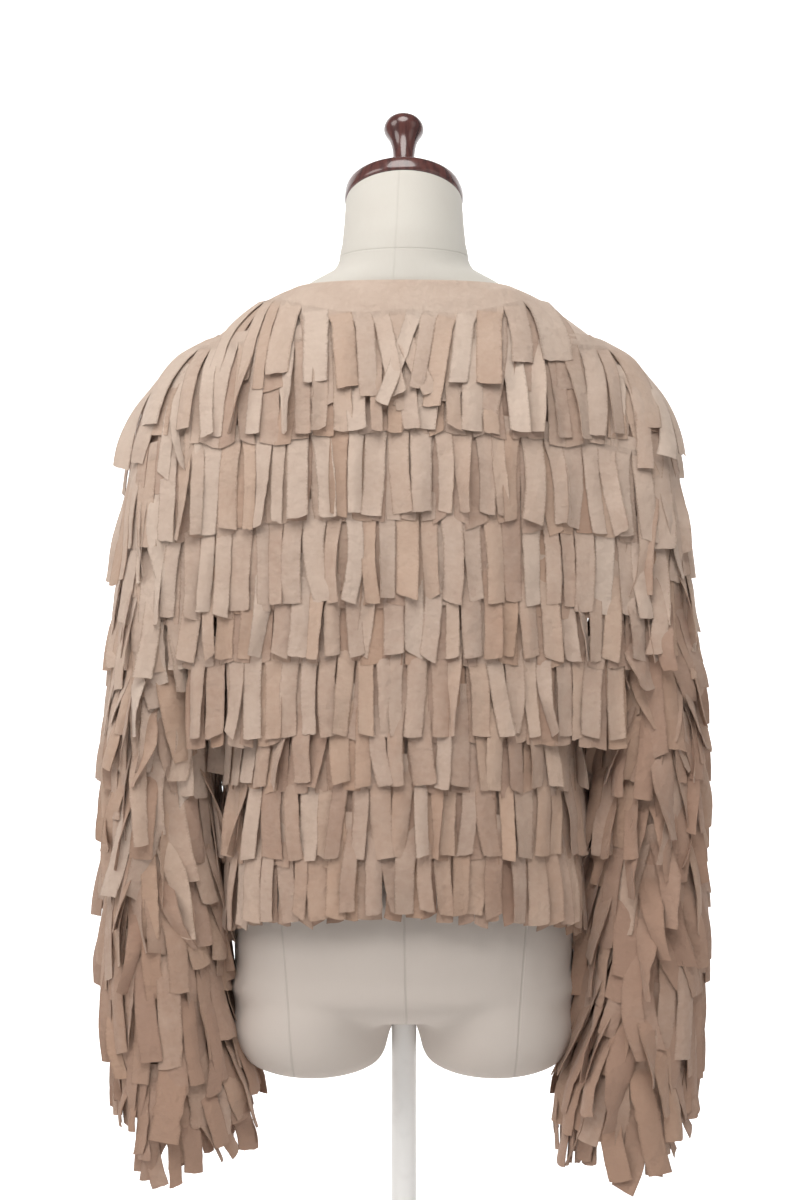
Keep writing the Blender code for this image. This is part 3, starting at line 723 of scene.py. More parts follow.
def round_angles(count):
    """Angles all the way round, in equal steps."""
    return np.linspace(0, 2 * math.pi, count, endpoint=False)


def rounded_ring(half_width, half_depth, squareness, angle):
    """Points of a rounded ring, angle 0 at its side and a quarter turn at its back."""
    across, along = np.cos(angle), np.sin(angle)
    power = 2 / squareness
    return (
        half_width * np.sign(across) * np.abs(across) ** power,
        half_depth * np.sign(along) * np.abs(along) ** power,
    )


def evenly_spaced(points, count):
    """The polyline again, as count points the same distance apart."""
    along = np.concatenate([[0], np.cumsum(np.linalg.norm(np.diff(points, axis=0), axis=1))])
    wanted = np.linspace(0, along[-1], count)
    return np.stack([np.interp(wanted, along, column) for column in points.T], axis=1)


def eased(share):
    """0 up to 0, 1 from 1 on, and smooth between."""
    share = np.clip(share, 0, 1)
    return share * share * (3 - 2 * share)


def products(across, along):
    """The products of two ways over a surface, which give their lengths and the angle between them."""
    return ((a * b).sum(-1) for a, b in ((across, across), (across, along), (along, along)))


class Surface:
    """A curved sheet that panels and strips lie on.

    Columns run round it. A place is (column, metres down that column from its top), with a lift outwards.
    Below its lower edge the sheet goes on straight down.
    """

    STEP = 0.004  # between the rows of its grid
    SPARE = 0.20  # how far it goes on below

    def __init__(self, points, columns, closed=False):
        self.columns, self.closed = np.asarray(columns, float), closed
        steps = np.linalg.norm(np.diff(points, axis=0), axis=2)
        self.depth = np.concatenate([np.zeros((1, steps.shape[1])), np.cumsum(steps, axis=0)])
        downs = np.arange(0, self.depth[-1].max() + self.SPARE, self.STEP)
        lines = [
            np.stack([np.interp(downs, depth, line[:, k]) for k in range(3)], axis=1)
            for depth, line in zip(self.depth.T, points.transpose(1, 0, 2))
        ]
        self.grid = np.stack(lines, axis=1)
        self.grid[:, :, 2] -= np.maximum(0, downs[:, None] - self.depth[-1])
        across = np.gradient(self.grid, axis=1)
        if closed:
            across[:, 0] = across[:, -1] = (self.grid[:, 1] - self.grid[:, -2]) / 2
        normals = np.cross(across, np.gradient(self.grid, axis=0))
        self.normals = normals / np.linalg.norm(normals, axis=2, keepdims=True)

    def column_index(self, where):
        """The place of columns among the grid's own, as a number with a fraction."""
        if self.closed:
            where = where % 1.0
        return np.interp(where, self.columns, np.arange(len(self.columns)))

    def read(self, grid, where, down):
        """The values of a grid at places between its points."""
        x = self.column_index(where)
        y = np.clip(down / self.STEP, 0, len(grid) - 1.001)
        i = np.clip(x.astype(int), 0, len(self.columns) - 2)
        j = y.astype(int)
        s, t = (x - i)[..., None], (y - j)[..., None]
        upper = grid[j, i] * (1 - s) + grid[j, i + 1] * s
        lower = grid[j + 1, i] * (1 - s) + grid[j + 1, i + 1] * s
        return upper * (1 - t) + lower * t

    def at(self, where, down, lift=0.0):
        """The points at places of the sheet, lifted off it."""
        where, down, lift = np.broadcast_arrays(*(np.asarray(v, float) for v in (where, down, lift)))
        normal = self.read(self.normals, where, down)
        normal /= np.linalg.norm(normal, axis=-1, keepdims=True)
        return self.read(self.grid, where, down) + lift[..., None] * normal

    def slopes(self, where, down):
        """How a point moves for each column unit, and for each metre down."""
        turn, step = 0.01, 0.002
        down = np.maximum(down, step)
        across = self.read(self.grid, where + turn, down) - self.read(self.grid, where - turn, down)
        along = self.read(self.grid, where, down + step) - self.read(self.grid, where, down - step)
        return across / (2 * turn), along / (2 * step)

    def unit(self, where, down, direction):
        """The direction (column units, metres down) made one metre long, and the one square to it.

        The second points to the higher columns where the first points down.
        """
        w, d = direction
        ee, ff, gg = products(*self.slopes(where, down))
        beside = (ff * w + gg * d, -(ee * w + ff * d))
        made = []
        for w, d in (direction, beside):
            length = np.sqrt(ee * w * w + 2 * ff * w * d + gg * d * d)
            made.append(np.stack([w / length, d / length]))
        return made

    def falling(self, where, down):
        """The direction of steepest descent."""
        across, along = self.slopes(where, down)
        ee, ff, gg = products(across, along)
        pull = -across[..., 2], -along[..., 2]
        steepest = (gg * pull[0] - ff * pull[1], ee * pull[1] - ff * pull[0])
        return self.unit(where, down, steepest)[0]

    def down_to(self, where, z):
        """How far down the columns the heights z are."""
        where, z = np.broadcast_arrays(np.asarray(where, float), np.asarray(z, float))
        downs = np.arange(len(self.grid)) * self.STEP
        found = [
            np.interp(-height, -self.at(np.full(len(downs), column), downs)[:, 2], downs)
            for column, height in zip(where.ravel(), z.ravel())
        ]
        return np.array(found).reshape(where.shape)


def body_quarter(z, side, samples=33):
    """A quarter of the body's level section, from the centre back or front to the side, at x > 0."""
    depth = "back_depth" if side > 0 else "front_depth"
    width, deep, square = section(BODY_RINGS, z, ("half_width", depth, "squareness"))
    x, y = rounded_ring(width, deep, square, np.linspace(math.pi / 2, 0, 4 * samples))
    return evenly_spaced(np.stack([x, side * y, np.full(len(x), z)], axis=1), samples)


def whole_ring(back, front):
    """A ring from the centre front round the right side and the back, from its quarters at x > 0."""
    left = np.concatenate([back, front[-2::-1]])
    return np.concatenate([left[:0:-1] * (-1, 1, 1), left])


def body_ring(z):
    """The body's whole level section."""
    return whole_ring(body_quarter(z, 1), body_quarter(z, -1))


def body_surface(levels=130):
    """The body. Its columns go from -2, centre front, by -1, the right side, and 0, centre back."""
    rows = np.array([body_ring(z) for z in np.linspace(NECKLINE_Z, HEM_Z, levels)])
    return Surface(rows, np.linspace(-2, 2, rows.shape[1]))


def armhole_depth(z):
    """How far the armhole's edge is behind or before its middle at a height."""
    inside = 1 - ((z - ARMHOLE_Z) / ARMHOLE_HALF_HEIGHT) ** 2
    return ARMHOLE_HALF_DEPTH * math.sqrt(max(0.0, inside))


def side_edge(z, side):
    """The column where the back (side 1) or a front (side -1) ends at a height."""
    quarter = body_quarter(z, side)
    share = np.interp(armhole_depth(z), side * quarter[::-1, 1], np.linspace(1, 0, len(quarter)))
    return float(share if side > 0 else 2 - share)


def centre_edge(z):
    """The column where the left front ends towards the middle."""
    quarter = body_quarter(z, -1)
    down = (NECKLINE_Z - z) / (NECKLINE_Z - HEM_Z)
    edge = (FRONT_GAP_TOP + (FRONT_GAP_HEM - FRONT_GAP_TOP) * down) / 2
    drop = min(1.0, (NECKLINE_Z - z) / FRONT_NECK_DROP)
    edge = max(edge, BODY_RINGS[-1].half_width * math.sqrt(1 - drop * drop))
    return 2 - float(np.interp(edge, quarter[:, 0], np.linspace(0, 1, len(quarter))))


def body_side_x(y, z):
    """How far out the body's surface is at a place of its side."""
    quarter = body_quarter(min(z, NECKLINE_Z), 1 if y >= 0 else -1)
    return float(np.interp(abs(y), abs(quarter[::-1, 1]), quarter[::-1, 0]))


def sleeve_ring(station, turns):
    """The left sleeve's section at a station, turn 0 at its back and a quarter turn at its outer side."""
    places = section(SLEEVE_STATIONS, station, SleeveStation._fields[1:])
    outer_x, outer_z, inner_x, inner_z, middle_y, half_depth = places
    angle = 2 * math.pi * np.asarray(turns)
    ring = np.stack(
        [
            (outer_x + inner_x) / 2 + (outer_x - inner_x) / 2 * np.sin(angle),
            middle_y + half_depth * np.cos(angle),
            (outer_z + inner_z) / 2 + (outer_z - inner_z) / 2 * np.sin(angle),
        ],
        axis=1,
    )
    if station < 1:
        for point in ring:
            armhole_x = body_side_x(point[1], point[2]) + ARMHOLE_EASE
            point[0] += (1 - station) ** 2 * (armhole_x - point[0])
    return ring


def sleeve_surface(levels=90, columns=49):
    """The left sleeve, closed round, its columns in turns."""
    turns = np.linspace(0, 1, columns)
    last = SLEEVE_STATIONS[-1].number
    rows = np.array([sleeve_ring(station, turns) for station in np.linspace(0, last, levels)])
    return Surface(rows, turns, closed=True)


def outer_quarter(points, side, samples=33):
    """A quarter of the outline that a cord pulled round the points would take, at x > 0."""
    angle = np.linspace(math.pi / 2, 0, 8 * samples)
    farthest = np.argmax(points[:, :2] @ np.stack([np.cos(angle), side * np.sin(angle)]), axis=0)
    outline = points[farthest]
    outline[0, 0] = 0
    return evenly_spaced(outline, samples)


def shoulder_surface(sleeve, levels=110, lowest=0.52):
    """The jacket's outside over the body and both sleeve heads, with the same columns as the body."""
    rows = []
    for z in np.linspace(NECKLINE_Z, lowest, levels):
        points = body_ring(z)
        for column in range(len(sleeve.columns)):
            line = sleeve.grid[:, column]
            if line[0, 2] > z:
                found = [np.interp(-z, -line[:, 2], line[:, k]) for k in (0, 1)]
                points = np.vstack([points, (*found, z)])
        rows.append(whole_ring(outer_quarter(points, 1), outer_quarter(points, -1)))
    return Surface(np.array(rows), np.linspace(-2, 2, len(rows[0])))


# ---------------------------------------------------------------- meshes
def sheet_quads(rows, columns):
    """Quads of a grid of points that is stored row by row."""
    j, i = np.meshgrid(np.arange(rows - 1), np.arange(columns - 1), indexing="ij")
    corner = (j * columns + i).ravel()
    return np.stack([corner, corner + columns, corner + columns + 1, corner + 1], axis=1)


def facing_out(quads, mirror):
    """Quads of a grid whose points are mirrored or not, so that they face out."""
    return quads[:, ::-1] if mirror > 0 else quads


def cloth_wall(points, quads, thickness):
    """A closed wall round a sheet of quads. Its second half of points are the inside ones."""
    corners = points[quads]
    turned = np.cross(corners[:, 2] - corners[:, 0], corners[:, 3] - corners[:, 1])
    normals = np.zeros_like(points)
    for k in range(4):
        np.add.at(normals, quads[:, k], turned)
    normals /= np.maximum(np.linalg.norm(normals, axis=1, keepdims=True), 1e-12)
    count = len(points)
    edges = np.concatenate([quads[:, [k, (k + 1) % 4]] for k in range(4)])
    _, first, uses = np.unique(np.sort(edges, axis=1), axis=0, return_index=True, return_counts=True)
    a, b = edges[first[uses == 1]].T
    rim = np.stack([b, a, a + count, b + count], axis=1)
    walls = np.concatenate([points + normals * thickness / 2, points - normals * thickness / 2])
    return walls, np.concatenate([quads, quads[:, ::-1] + count, rim])


def set_out(name, mesh, material, sharp):
    """A mesh as an object of the scene, smooth but for the edges above an angle in degrees."""
    mesh.shade_smooth()
    mesh.set_sharp_from_angle(angle=math.radians(sharp))
    mesh.materials.append(material)
    piece = bpy.data.objects.new(name, mesh)
    bpy.context.scene.collection.objects.link(piece)
    return piece


def add_piece(name, points, faces, material, marks=None, sharp=40):
    """A new object made of points and faces, whose marks are numbers at its points."""
    mesh = bpy.data.meshes.new(name)
    mesh.from_pydata(points.tolist(), [], faces if isinstance(faces, list) else faces.tolist())
    mesh.update()
    for mark, values in (marks or {}).items():
        held = mesh.attributes.new(mark, "FLOAT", "POINT")
        held.data.foreach_set("value", np.asarray(values, np.float32))
    return set_out(name, mesh, material, sharp)


def fit(piece, slot, *nodes):
    """The piece takes the place of CAD nodes and rides with them."""
    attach(piece, "root")
    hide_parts(*nodes)
    return piece


# ---------------------------------------------------------------- fringe
class Strips(NamedTuple):
    """The shapes of a row's strips, one number for each strip."""

    length: np.ndarray  # free length below the band
    sway: np.ndarray  # how far its end hangs to the side
    bow: np.ndarray  # how far its middle does
    twist: np.ndarray  # how far it turns on itself
    curl: np.ndarray  # how far its end stands off
    cup: np.ndarray  # how far its middle line stands out between its edges
    order: np.ndarray  # how far it lies above its neighbours
    slant: np.ndarray  # how slanting its end is cut
    taper: np.ndarray  # how much narrower it ends
    tone: np.ndarray  # its dye, from pale to deep
    warmth: np.ndarray  # how tan that is


class Hang(NamedTuple):
    """How unruly the strips of a row are."""

    uneven: float  # how far they differ in length
    sway: float  # how far their ends hang to one side
    twist: float  # how far they turn on themselves
    turned: float  # share of strips that hang edge on
    stack: float  # how high a strip may lie above its neighbours
    curl: float  # how far their ends stand off or lie in
    gap: float  # what is free between them, as a share of their width
    plumb: float  # how far they hang straight down, rather than square to the band
    dyed: float  # how far they differ in tone


BODY_LIFTS = (0.0042, 0.0020)  # of a row's upper and lower layer above the surface that it is sewn to
COLLAR_LIFTS = (0.0050, 0.0030)
SLEEVE_LIFTS = (0.0044, 0.0026)
LAYER_GAP = 0.0009  # that stays free between layers
LOWER_LONGER = 0.005  # how much longer a lower layer is cut
LOWER_TONE = 0.26  # how much deeper it is dyed, as painted shade under the upper layer
COLLAR_STRIP = 1.10  # the width of a collar strip in strips
SLEEVE_STRIP = 0.86
PUFF_A_ROW = 0.0016  # how far a sleeve's rows puff out beside the body, more in each of the first seven
BAND_STEP = 0.006  # about the height of a quad of a band
ACROSS = 4  # quads across a strip
ALONG = 14  # and down it
EDGE_WAVER = 0.00022  # how far the cut edges waver
END_WAVER = 0.0003
WORN_CORNER = 0.0006  # how much shorter a strip's end is at its corners
NEAT = Hang(
    uneven=0.034, sway=0.0042, twist=0.28, turned=0.13, stack=0.0024,
    curl=0.0010, gap=0.11, plumb=1.0, dyed=0.14,
)
NEAT_BELOW = NEAT._replace(gap=0.05)
LOOSE = Hang(
    uneven=0.13, sway=0.0090, twist=0.40, turned=0.34, stack=0.0055,
    curl=0.0038, gap=0.20, plumb=0.96, dyed=0.20,
)
CUFF = Hang(
    uneven=0.12, sway=0.0070, twist=0.32, turned=0.22, stack=0.0050,
    curl=0.0025, gap=0.17, plumb=0.96, dyed=0.19,
)
COLLAR = Hang(
    uneven=0.07, sway=0.0045, twist=0.16, turned=0.05, stack=0.0022,
    curl=0.0012, gap=0.12, plumb=0.8, dyed=0.14,
)


class Seam(NamedTuple):
    """How a row of fringe is sewn to a surface."""

    surface: Surface
    top: object  # top(where), how far down the surface the band's upper edge is
    flare: object  # flare(where), how fast the row stands off, per metre of its length
    lift: float  # of the band above the surface
    ceiling: float = None  # what the strips lie below, where a layer is over them
    rumple: object = None  # rumple(where, down), what lifts the band further
    stay: tuple = ANYWHERE  # the columns that the strips stay between


def cut_strips(chance, count, length, hang, tone):
    """The strips of a row, each with its own chance length, fall and dye."""
    spread = chance.uniform(-1, 1, count)
    wave = np.sin(np.linspace(0, 7, count) + chance.uniform(0, 6))
    edge_on = chance.uniform(0.7, 1.35, count) * chance.choice([-1, 1], count)
    twist = np.where(chance.random(count) < hang.turned, edge_on, chance.normal(0, hang.twist, count))
    return Strips(
        length=length * (1 + hang.uneven * (spread + 0.5 * wave)),
        sway=chance.normal(0, hang.sway, count),
        bow=chance.normal(0, hang.sway * 0.45, count),
        twist=twist,
        curl=chance.normal(0, hang.curl, count),
        cup=chance.normal(0, 0.0013, count),
        order=hang.stack / 2 * ((2 * np.arange(count) + chance.integers(0, 2, count)) % 3),
        slant=chance.normal(0, 0.0016, count),
        taper=chance.normal(0.0, 0.05, count),
        tone=np.clip(chance.normal(tone, hang.dyed, count), 0.06, 1.3),
        warmth=chance.random(count) ** 2,
    )


def cut_edges(surface, top, span, width, chance):
    """The columns of a row's cuts, about a strip's width apart."""
    known = np.linspace(*span, 60)
    steps = np.linalg.norm(np.diff(surface.at(known, top(known)), axis=0), axis=1)
    count = max(2, round(steps.sum() / width))
    widths = chance.uniform(0.74, 1.26, count)
    along = np.concatenate([[0], np.cumsum(widths)]) / widths.sum()
    return np.interp(along * steps.sum(), np.concatenate([[0], steps.cumsum()]), known)


def strip_middles(edges):
    """The columns of the strips between the cuts."""
    return (edges[1:] + edges[:-1]) / 2


def sewn_band(seam, edges, height):
    """A row's uncut band: its places on the surface, their lifts, the depth of its rows and its way down."""
    fine = np.interp(np.arange((len(edges) - 1) * ACROSS + 1) / ACROSS, np.arange(len(edges)), edges)
    upper, step = seam.top(fine), 0.004
    line = (np.ones_like(fine), (seam.top(fine + step) - seam.top(fine - step)) / (2 * step))
    square = -seam.surface.unit(fine, upper, line)[1]
    fall = np.linspace(0, height, 2 + round(height / BAND_STEP))[:, None]
    where, down = fine + square[0] * fall, upper + square[1] * fall
    rise = seam.lift + seam.flare(where) * fall
    if seam.rumple:
        rise = rise + seam.rumple(where, down)
    return where, down, rise, fall, square


def falling_lines(seam, where, down, square, strips, hang):
    """The middle lines of strips: their places, and the ways forward and beside at each of them.

    They set out square to their band and soon fall down the surface, and stay between two columns.
    """
    surface, path = seam.surface, []
    for share in np.linspace(0, 1, ALONG + 1)[1:]:
        turn = hang.plumb * eased(share * strips.length / 0.025)
        way = square * (1 - turn) + surface.falling(where, down) * turn
        forward, beside = surface.unit(where, down, way)
        lean = 1.6 * strips.sway * share**0.6 + math.pi * strips.bow * math.cos(math.pi * share)
        forward, beside = surface.unit(where, down, forward + beside * lean / strips.length)
        where = np.clip(where + forward[0] * strips.length / ALONG, *seam.stay)
        down = down + forward[1] * strips.length / ALONG
        path.append((where, down, *forward, *beside))
    return np.array(path).transpose(1, 2, 0)[..., None]


def cut_outlines(strips, width, share, across, chance):
    """How far the points of strips are beside and past their places on the middle lines."""
    beside = across * width[:, :, None]
    beside[:, :, [0, -1]] += chance.normal(0, EDGE_WAVER, (*width.shape, 2))
    further = (strips.slant[:, None] * share**4)[:, :, None] * across * 2
    further[:, -1] += chance.normal(0, END_WAVER, (len(width), ACROSS + 1))
    further[:, -1, [0, -1]] -= WORN_CORNER
    return beside, further


def strip_rises(strips, roots, along, share, slope, turned_width, across, chance):
    """How high the points of strips lie, from their roots' heights and their own fall, turn and cup."""
    ripple = chance.uniform(0, 2 * math.pi, (len(along), 1)) + share * chance.uniform(3, 9, (len(along), 1))
    raised = (
        slope * along
        + strips.order[:, None] * eased(along / 0.045)
        + strips.curl[:, None] * share**2
        + (np.sin(ripple) - np.sin(ripple[:, :1])) * 0.0013 * share
        + np.abs(turned_width) * 0.25
    )
    cupped = (strips.cup[:, None] * eased(along / 0.03))[:, :, None] * (1 - 4 * across**2)
    return roots[:, None, :] + raised[:, :, None] + across * turned_width[:, :, None] + cupped


def comb_quads(band_rows, columns, roots):
    """The quads of a band and of the strips that hang from the roots, which are points of its last row."""
    quads = [sheet_quads(band_rows, columns)]
    first, size = band_rows * columns, ALONG * (ACROSS + 1)
    own = np.arange(size).reshape(ALONG, ACROSS + 1)
    for number, root in enumerate(roots):
        lines = np.vstack([first - columns + root, own + first + number * size])
        corners = (lines[:-1, :-1], lines[1:, :-1], lines[1:, 1:], lines[:-1, 1:])
        quads.append(np.stack(corners, axis=2).reshape(-1, 4))
    return np.concatenate(quads)


def comb(seam, edges, band, strips, hang, chance):
    """A band with strips below it, as points, quads and marks. A strip of no length is left out."""
    where, down, rise, fall, square = sewn_band(seam, edges, band)
    band_points = seam.surface.at(where, down, rise)

    kept = np.flatnonzero(strips.length > 0)
    strips = Strips(*(values[kept] for values in strips))
    middle = kept * ACROSS + ACROSS // 2
    roots = kept[:, None] * ACROSS + np.arange(ACROSS + 1)
    cut = np.linalg.norm(band_points[-1][roots[:, -1]] - band_points[-1][roots[:, 0]], axis=1)
    start = where[-1][middle], down[-1][middle]
    slope = seam.flare(start[0])[:, None]
    lines = falling_lines(seam, *start, square[:, middle], strips, hang)
    w, d, forward_w, forward_d, beside_w, beside_d = lines

    across = np.linspace(-0.5, 0.5, ACROSS + 1)
    share = np.linspace(0, 1, ALONG + 1)[1:]
    along = strips.length[:, None] * share
    width = cut[:, None] * (1 - hang.gap * eased(along / 0.02)) * (1 - strips.taper[:, None] * share)
    twist = strips.twist[:, None] * eased(share * 1.15)
    beside, further = cut_outlines(strips, width * np.cos(twist), share, across, chance)
    rises = strip_rises(
        strips, rise[-1][roots], along, share, slope, width * np.sin(twist), across, chance
    )
    lowest = (0.85 * slope * along)[:, :, None]
    rises = np.maximum(rises, seam.lift + lowest)
    if seam.ceiling is not None:
        rises = np.minimum(rises, seam.ceiling + lowest)
    strip_points = seam.surface.at(
        w + beside_w * beside + forward_w * further, d + beside_d * beside + forward_d * further, rises
    )

    in_band, in_strip = where.size, ALONG * (ACROSS + 1)
    band_across = np.tile(np.linspace(0, cut.sum(), where.shape[1]), len(fall))
    marks = {
        "tone": np.append(np.full(in_band, strips.tone.mean() * 0.8), np.repeat(strips.tone, in_strip)),
        "warmth": np.append(np.full(in_band, 0.2), np.repeat(strips.warmth, in_strip)),
        "across": np.append(band_across, beside),
        "along": np.append(np.repeat(fall, where.shape[1]), np.repeat(band + along, ACROSS + 1)),
        "rim": np.append(np.zeros(in_band), np.tile(np.abs(across) * 2, len(kept) * ALONG)),
    }
    points = np.concatenate([band_points.reshape(-1, 3), strip_points.reshape(-1, 3)])
    return points, comb_quads(len(fall), where.shape[1], roots), marks


def fringe_piece(name, combs, fringe, material, mirror=1):
    """Combs of one row as one object."""
    points, faces, marks, start = [], [], {}, 0
    for comb_points, quads, comb_marks in combs:
        mirrored = comb_points * (mirror, 1, 1)
        walls, all_faces = cloth_wall(mirrored, facing_out(quads, mirror), fringe.thickness)
        points.append(walls)
        faces.append(all_faces + start)
        start += len(walls)
        for mark, values in comb_marks.items():
            marks.setdefault(mark, []).append(np.tile(values, 2))
    marks = {mark: np.concatenate(values) for mark, values in marks.items()}
    return add_piece(name, np.concatenate(points), np.concatenate(faces), material, marks)


def row_top(surface, row):
    """How far down the surface a row's upper edge is."""
    known = np.linspace(-2, 2, 81)
    heights = row.back_z + (row.side_z - row.back_z) * np.minimum(1, np.abs(known)) ** 2
    depths = surface.down_to(known, heights)

    def top(where):
        return np.interp(where, known, depths)

    return top


def sleeve_row_top(sleeve, outer_z, inner_z, chance):
    """How far down the sleeve a row's upper edge is. It wavers, and keeps clear of the armhole."""
    turns = sleeve.columns
    height = inner_z + (outer_z - inner_z) * (1 + np.sin(2 * math.pi * turns)) / 2
    for waves in (2, 3, 5):
        height += chance.normal(0, 0.008 / waves) * np.sin(2 * math.pi * (waves * turns + chance.random()))
    depths = np.maximum(sleeve.down_to(turns, height), SLEEVE_ROW_INSET)
    depths = np.convolve(np.pad(depths[:-1], 2, "wrap"), np.ones(5) / 5, "valid")

    def top(where):
        return np.interp(np.asarray(where) % 1.0, turns, np.append(depths, depths[0]))

    return top


def outer_share(where):
    """How far a column of the sleeve faces away from the body."""
    return np.maximum(np.sin(2 * math.pi * where), 0) ** 2


def inner_share(where):
    """How far a column of the sleeve faces the body."""
    return np.maximum(-np.sin(2 * math.pi * where), 0) ** 2


def row_reach(row, side):
    """The column up to which a whole row stays clear of the armhole."""
    edges = [side_edge(z, side) for z in np.linspace(row.side_z, row.side_z - row.length, 12)]
    return min(edges) - ROW_MARGIN if side > 0 else max(edges) + ROW_MARGIN


def even(value):
    """The same value at every column."""
    return lambda where: np.full(np.shape(where), value)


def settled(strips):
    """Strips of a lower layer, pressed flat by those over them."""
    return strips._replace(
        sway=strips.sway * 0.6,
        twist=np.clip(strips.twist * 0.5, -0.3, 0.3),
        cup=strips.cup * 0.4,
        order=strips.order * 0.3,
    )


def layer_height(lifts, layer):
    """The lift of a row's upper or lower layer, and the ceiling of the lower one."""
    return (lifts[1], lifts[0] - LAYER_GAP) if layer == 1 else (lifts[0], None)


def two_layers(surface, top, span, length, fringe, chance, tone):
    """A neat row of strips over a second one that shows between and below them."""
    combs = []
    for layer in (0, 1):
        edges = cut_edges(surface, top, span, fringe.width, chance)
        free = length - fringe.band + layer * LOWER_LONGER
        # Painted light: the strips are made paler towards the left shoulder, the side the light comes from.
        lit_from_left = 0.16 * np.clip(edges[1:], 0, 1)  # paler towards the left shoulder
        # The lower layer's deeper tone is painted shade under the upper strips.
        strips = cut_strips(chance, len(edges) - 1, free, NEAT, tone + LOWER_TONE * layer - lit_from_left)
        if layer:
            strips = settled(strips)
        seam = Seam(surface, top, even(fringe.flare), *layer_height(BODY_LIFTS, layer))
        combs.append(comb(seam, edges, fringe.band, strips, NEAT_BELOW if layer else NEAT, chance))
    return combs


# ---------------------------------------------------------------- what the operators share
class Workshop:
    """The surfaces and the fringe's finish, each made once."""

    made = {}

    @classmethod
    def get(cls, name, make):
        """What has this name, made when it is first asked for."""
        if name not in cls.made:
            cls.made[name] = make()
        return cls.made[name]

    @classmethod
    def body(cls):
        return cls.get("body", body_surface)

    @classmethod
    def sleeve(cls):
        return cls.get("sleeve", sleeve_surface)

    @classmethod
    def shoulders(cls):
        return cls.get("shoulders", lambda: shoulder_surface(cls.sleeve()))

    @classmethod
    def fringe_cloth(cls, scene):
        return cls.get("fringe cloth", lambda: suedette("fringe cloth", scene.jacket_cloth, True))


# ---------------------------------------------------------------- panels
class Crease(NamedTuple):
    """A soft trough in a panel: its two ends as (column, metres down), its depth and its width."""

    start: tuple
    end: tuple
    depth: float
    width: float


BACK_CREASES = (
    Crease((-0.75, 0.13), (-0.30, 0.22), 0.6, 0.016),
    Crease((0.75, 0.12), (0.25, 0.20), 0.6, 0.018),
    Crease((-0.85, 0.30), (-0.35, 0.38), 0.8, 0.020),
    Crease((0.88, 0.30), (0.40, 0.40), 0.8, 0.020),
    Crease((-0.50, 0.40), (-0.45, 0.56), 1.0, 0.022),
    Crease((0.05, 0.42), (0.02, 0.57), 0.8, 0.024),
    Crease((0.55, 0.42), (0.52, 0.57), 1.0, 0.022),
)
FRONT_CREASES = (
    Crease((1.30, 0.16), (1.65, 0.26), 0.7, 0.018),
    Crease((1.15, 0.30), (1.60, 0.40), 0.8, 0.020),
    Crease((1.45, 0.38), (1.48, 0.56), 1.0, 0.022),
    Crease((1.80, 0.34), (1.78, 0.54), 0.7, 0.018),
)
SLEEVE_CREASES = (
    Crease((0.62, 0.06), (0.88, 0.10), 0.8, 0.014),
    Crease((0.60, 0.14), (0.92, 0.17), 1.0, 0.016),
    Crease((0.55, 0.24), (0.95, 0.28), 1.0, 0.018),
    Crease((0.05, 0.30), (0.42, 0.33), 0.7, 0.018),
    Crease((0.10, 0.42), (0.38, 0.44), 0.6, 0.018),
    Crease((0.50, 0.40), (0.90, 0.46), 0.8, 0.020),
    Crease((0.30, 0.52), (0.28, 0.66), 0.8, 0.020),
    Crease((0.80, 0.50), (0.82, 0.62), 0.8, 0.020),
)


def sunk(surface, creases, where, down, depth):
    """How far the creases pull a panel inwards, and push it out beside them."""
    scale = np.linalg.norm(surface.slopes(where, down)[0], axis=-1)
    total = np.zeros_like(down)
    for crease in creases:
        x0, y0 = (where - crease.start[0]) * scale, down - crease.start[1]
        x1, y1 = (crease.end[0] - crease.start[0]) * scale, crease.end[1] - crease.start[1]
        share = np.clip((x0 * x1 + y0 * y1) / (x1 * x1 + y1 * y1), 0, 1)
        off = np.hypot(x0 - share * x1, y0 - share * y1) / crease.width
        fade = 1 - 0.5 * np.abs(2 * share - 1) ** 2
        total -= depth * crease.depth * fade * np.exp(-off * off)
    return total


PANEL_LIFT = 0.0010  # a little inside the outer face of a panel's solid
CREASED_TOP_Z = 0.95  # above it a body panel has fewer rows


def panel_points(surface, wheres, downs, creases, cloth):
    """A grid of a panel's points, with its creases."""
    sink = sunk(surface, creases, wheres, downs, cloth.crease)
    return surface.at(wheres, downs, PANEL_LIFT + sink)


def panel_piece(name, points, mirror, cloth, material):
    """A panel of cloth through a grid of points."""
    quads = facing_out(sheet_quads(*points.shape[:2]), mirror)
    walls = cloth_wall(points.reshape(-1, 3) * (mirror, 1, 1), quads, cloth.thickness)
    return add_piece(name, *walls, material)


def body_panel_points(body, top_z, edges, creases, cloth, columns):
    """The points of the back or the left front, whose two edges are columns at each height."""
    heights = np.linspace(top_z, CREASED_TOP_Z, 22)[:-1]
    heights = np.concatenate([heights, np.linspace(CREASED_TOP_Z, HEM_Z, 90)])
    wheres, downs = [], []
    for z in heights:
        start, end = edges(z)
        turn = math.copysign(SEAM_MARGIN, end - start)
        wheres.append(np.linspace(start + turn, end - turn, columns))
        downs.append(body.down_to(wheres[-1], z))
    return panel_points(body, np.array(wheres), np.array(downs), creases, cloth)


def sleeve_points(sleeve, cloth):
    """The points of the left sleeve, with the turning that goes on under the body's cloth."""
    turns = np.linspace(*ALL_ROUND, 73)
    downs = np.linspace(0, 1, 120)[:, None] * np.interp(turns % 1.0, sleeve.columns, sleeve.depth[-1])
    wheres = np.broadcast_to(turns, downs.shape)
    points = panel_points(sleeve, wheres % 1.0, downs, SLEEVE_CREASES, cloth)
    inwards = points[0] - points[1]
    inwards /= np.linalg.norm(inwards, axis=1, keepdims=True)
    turning = points[0] + ARMHOLE_TURNING * inwards - (0, 0, 0.0008)
    return np.concatenate([[turning], points])


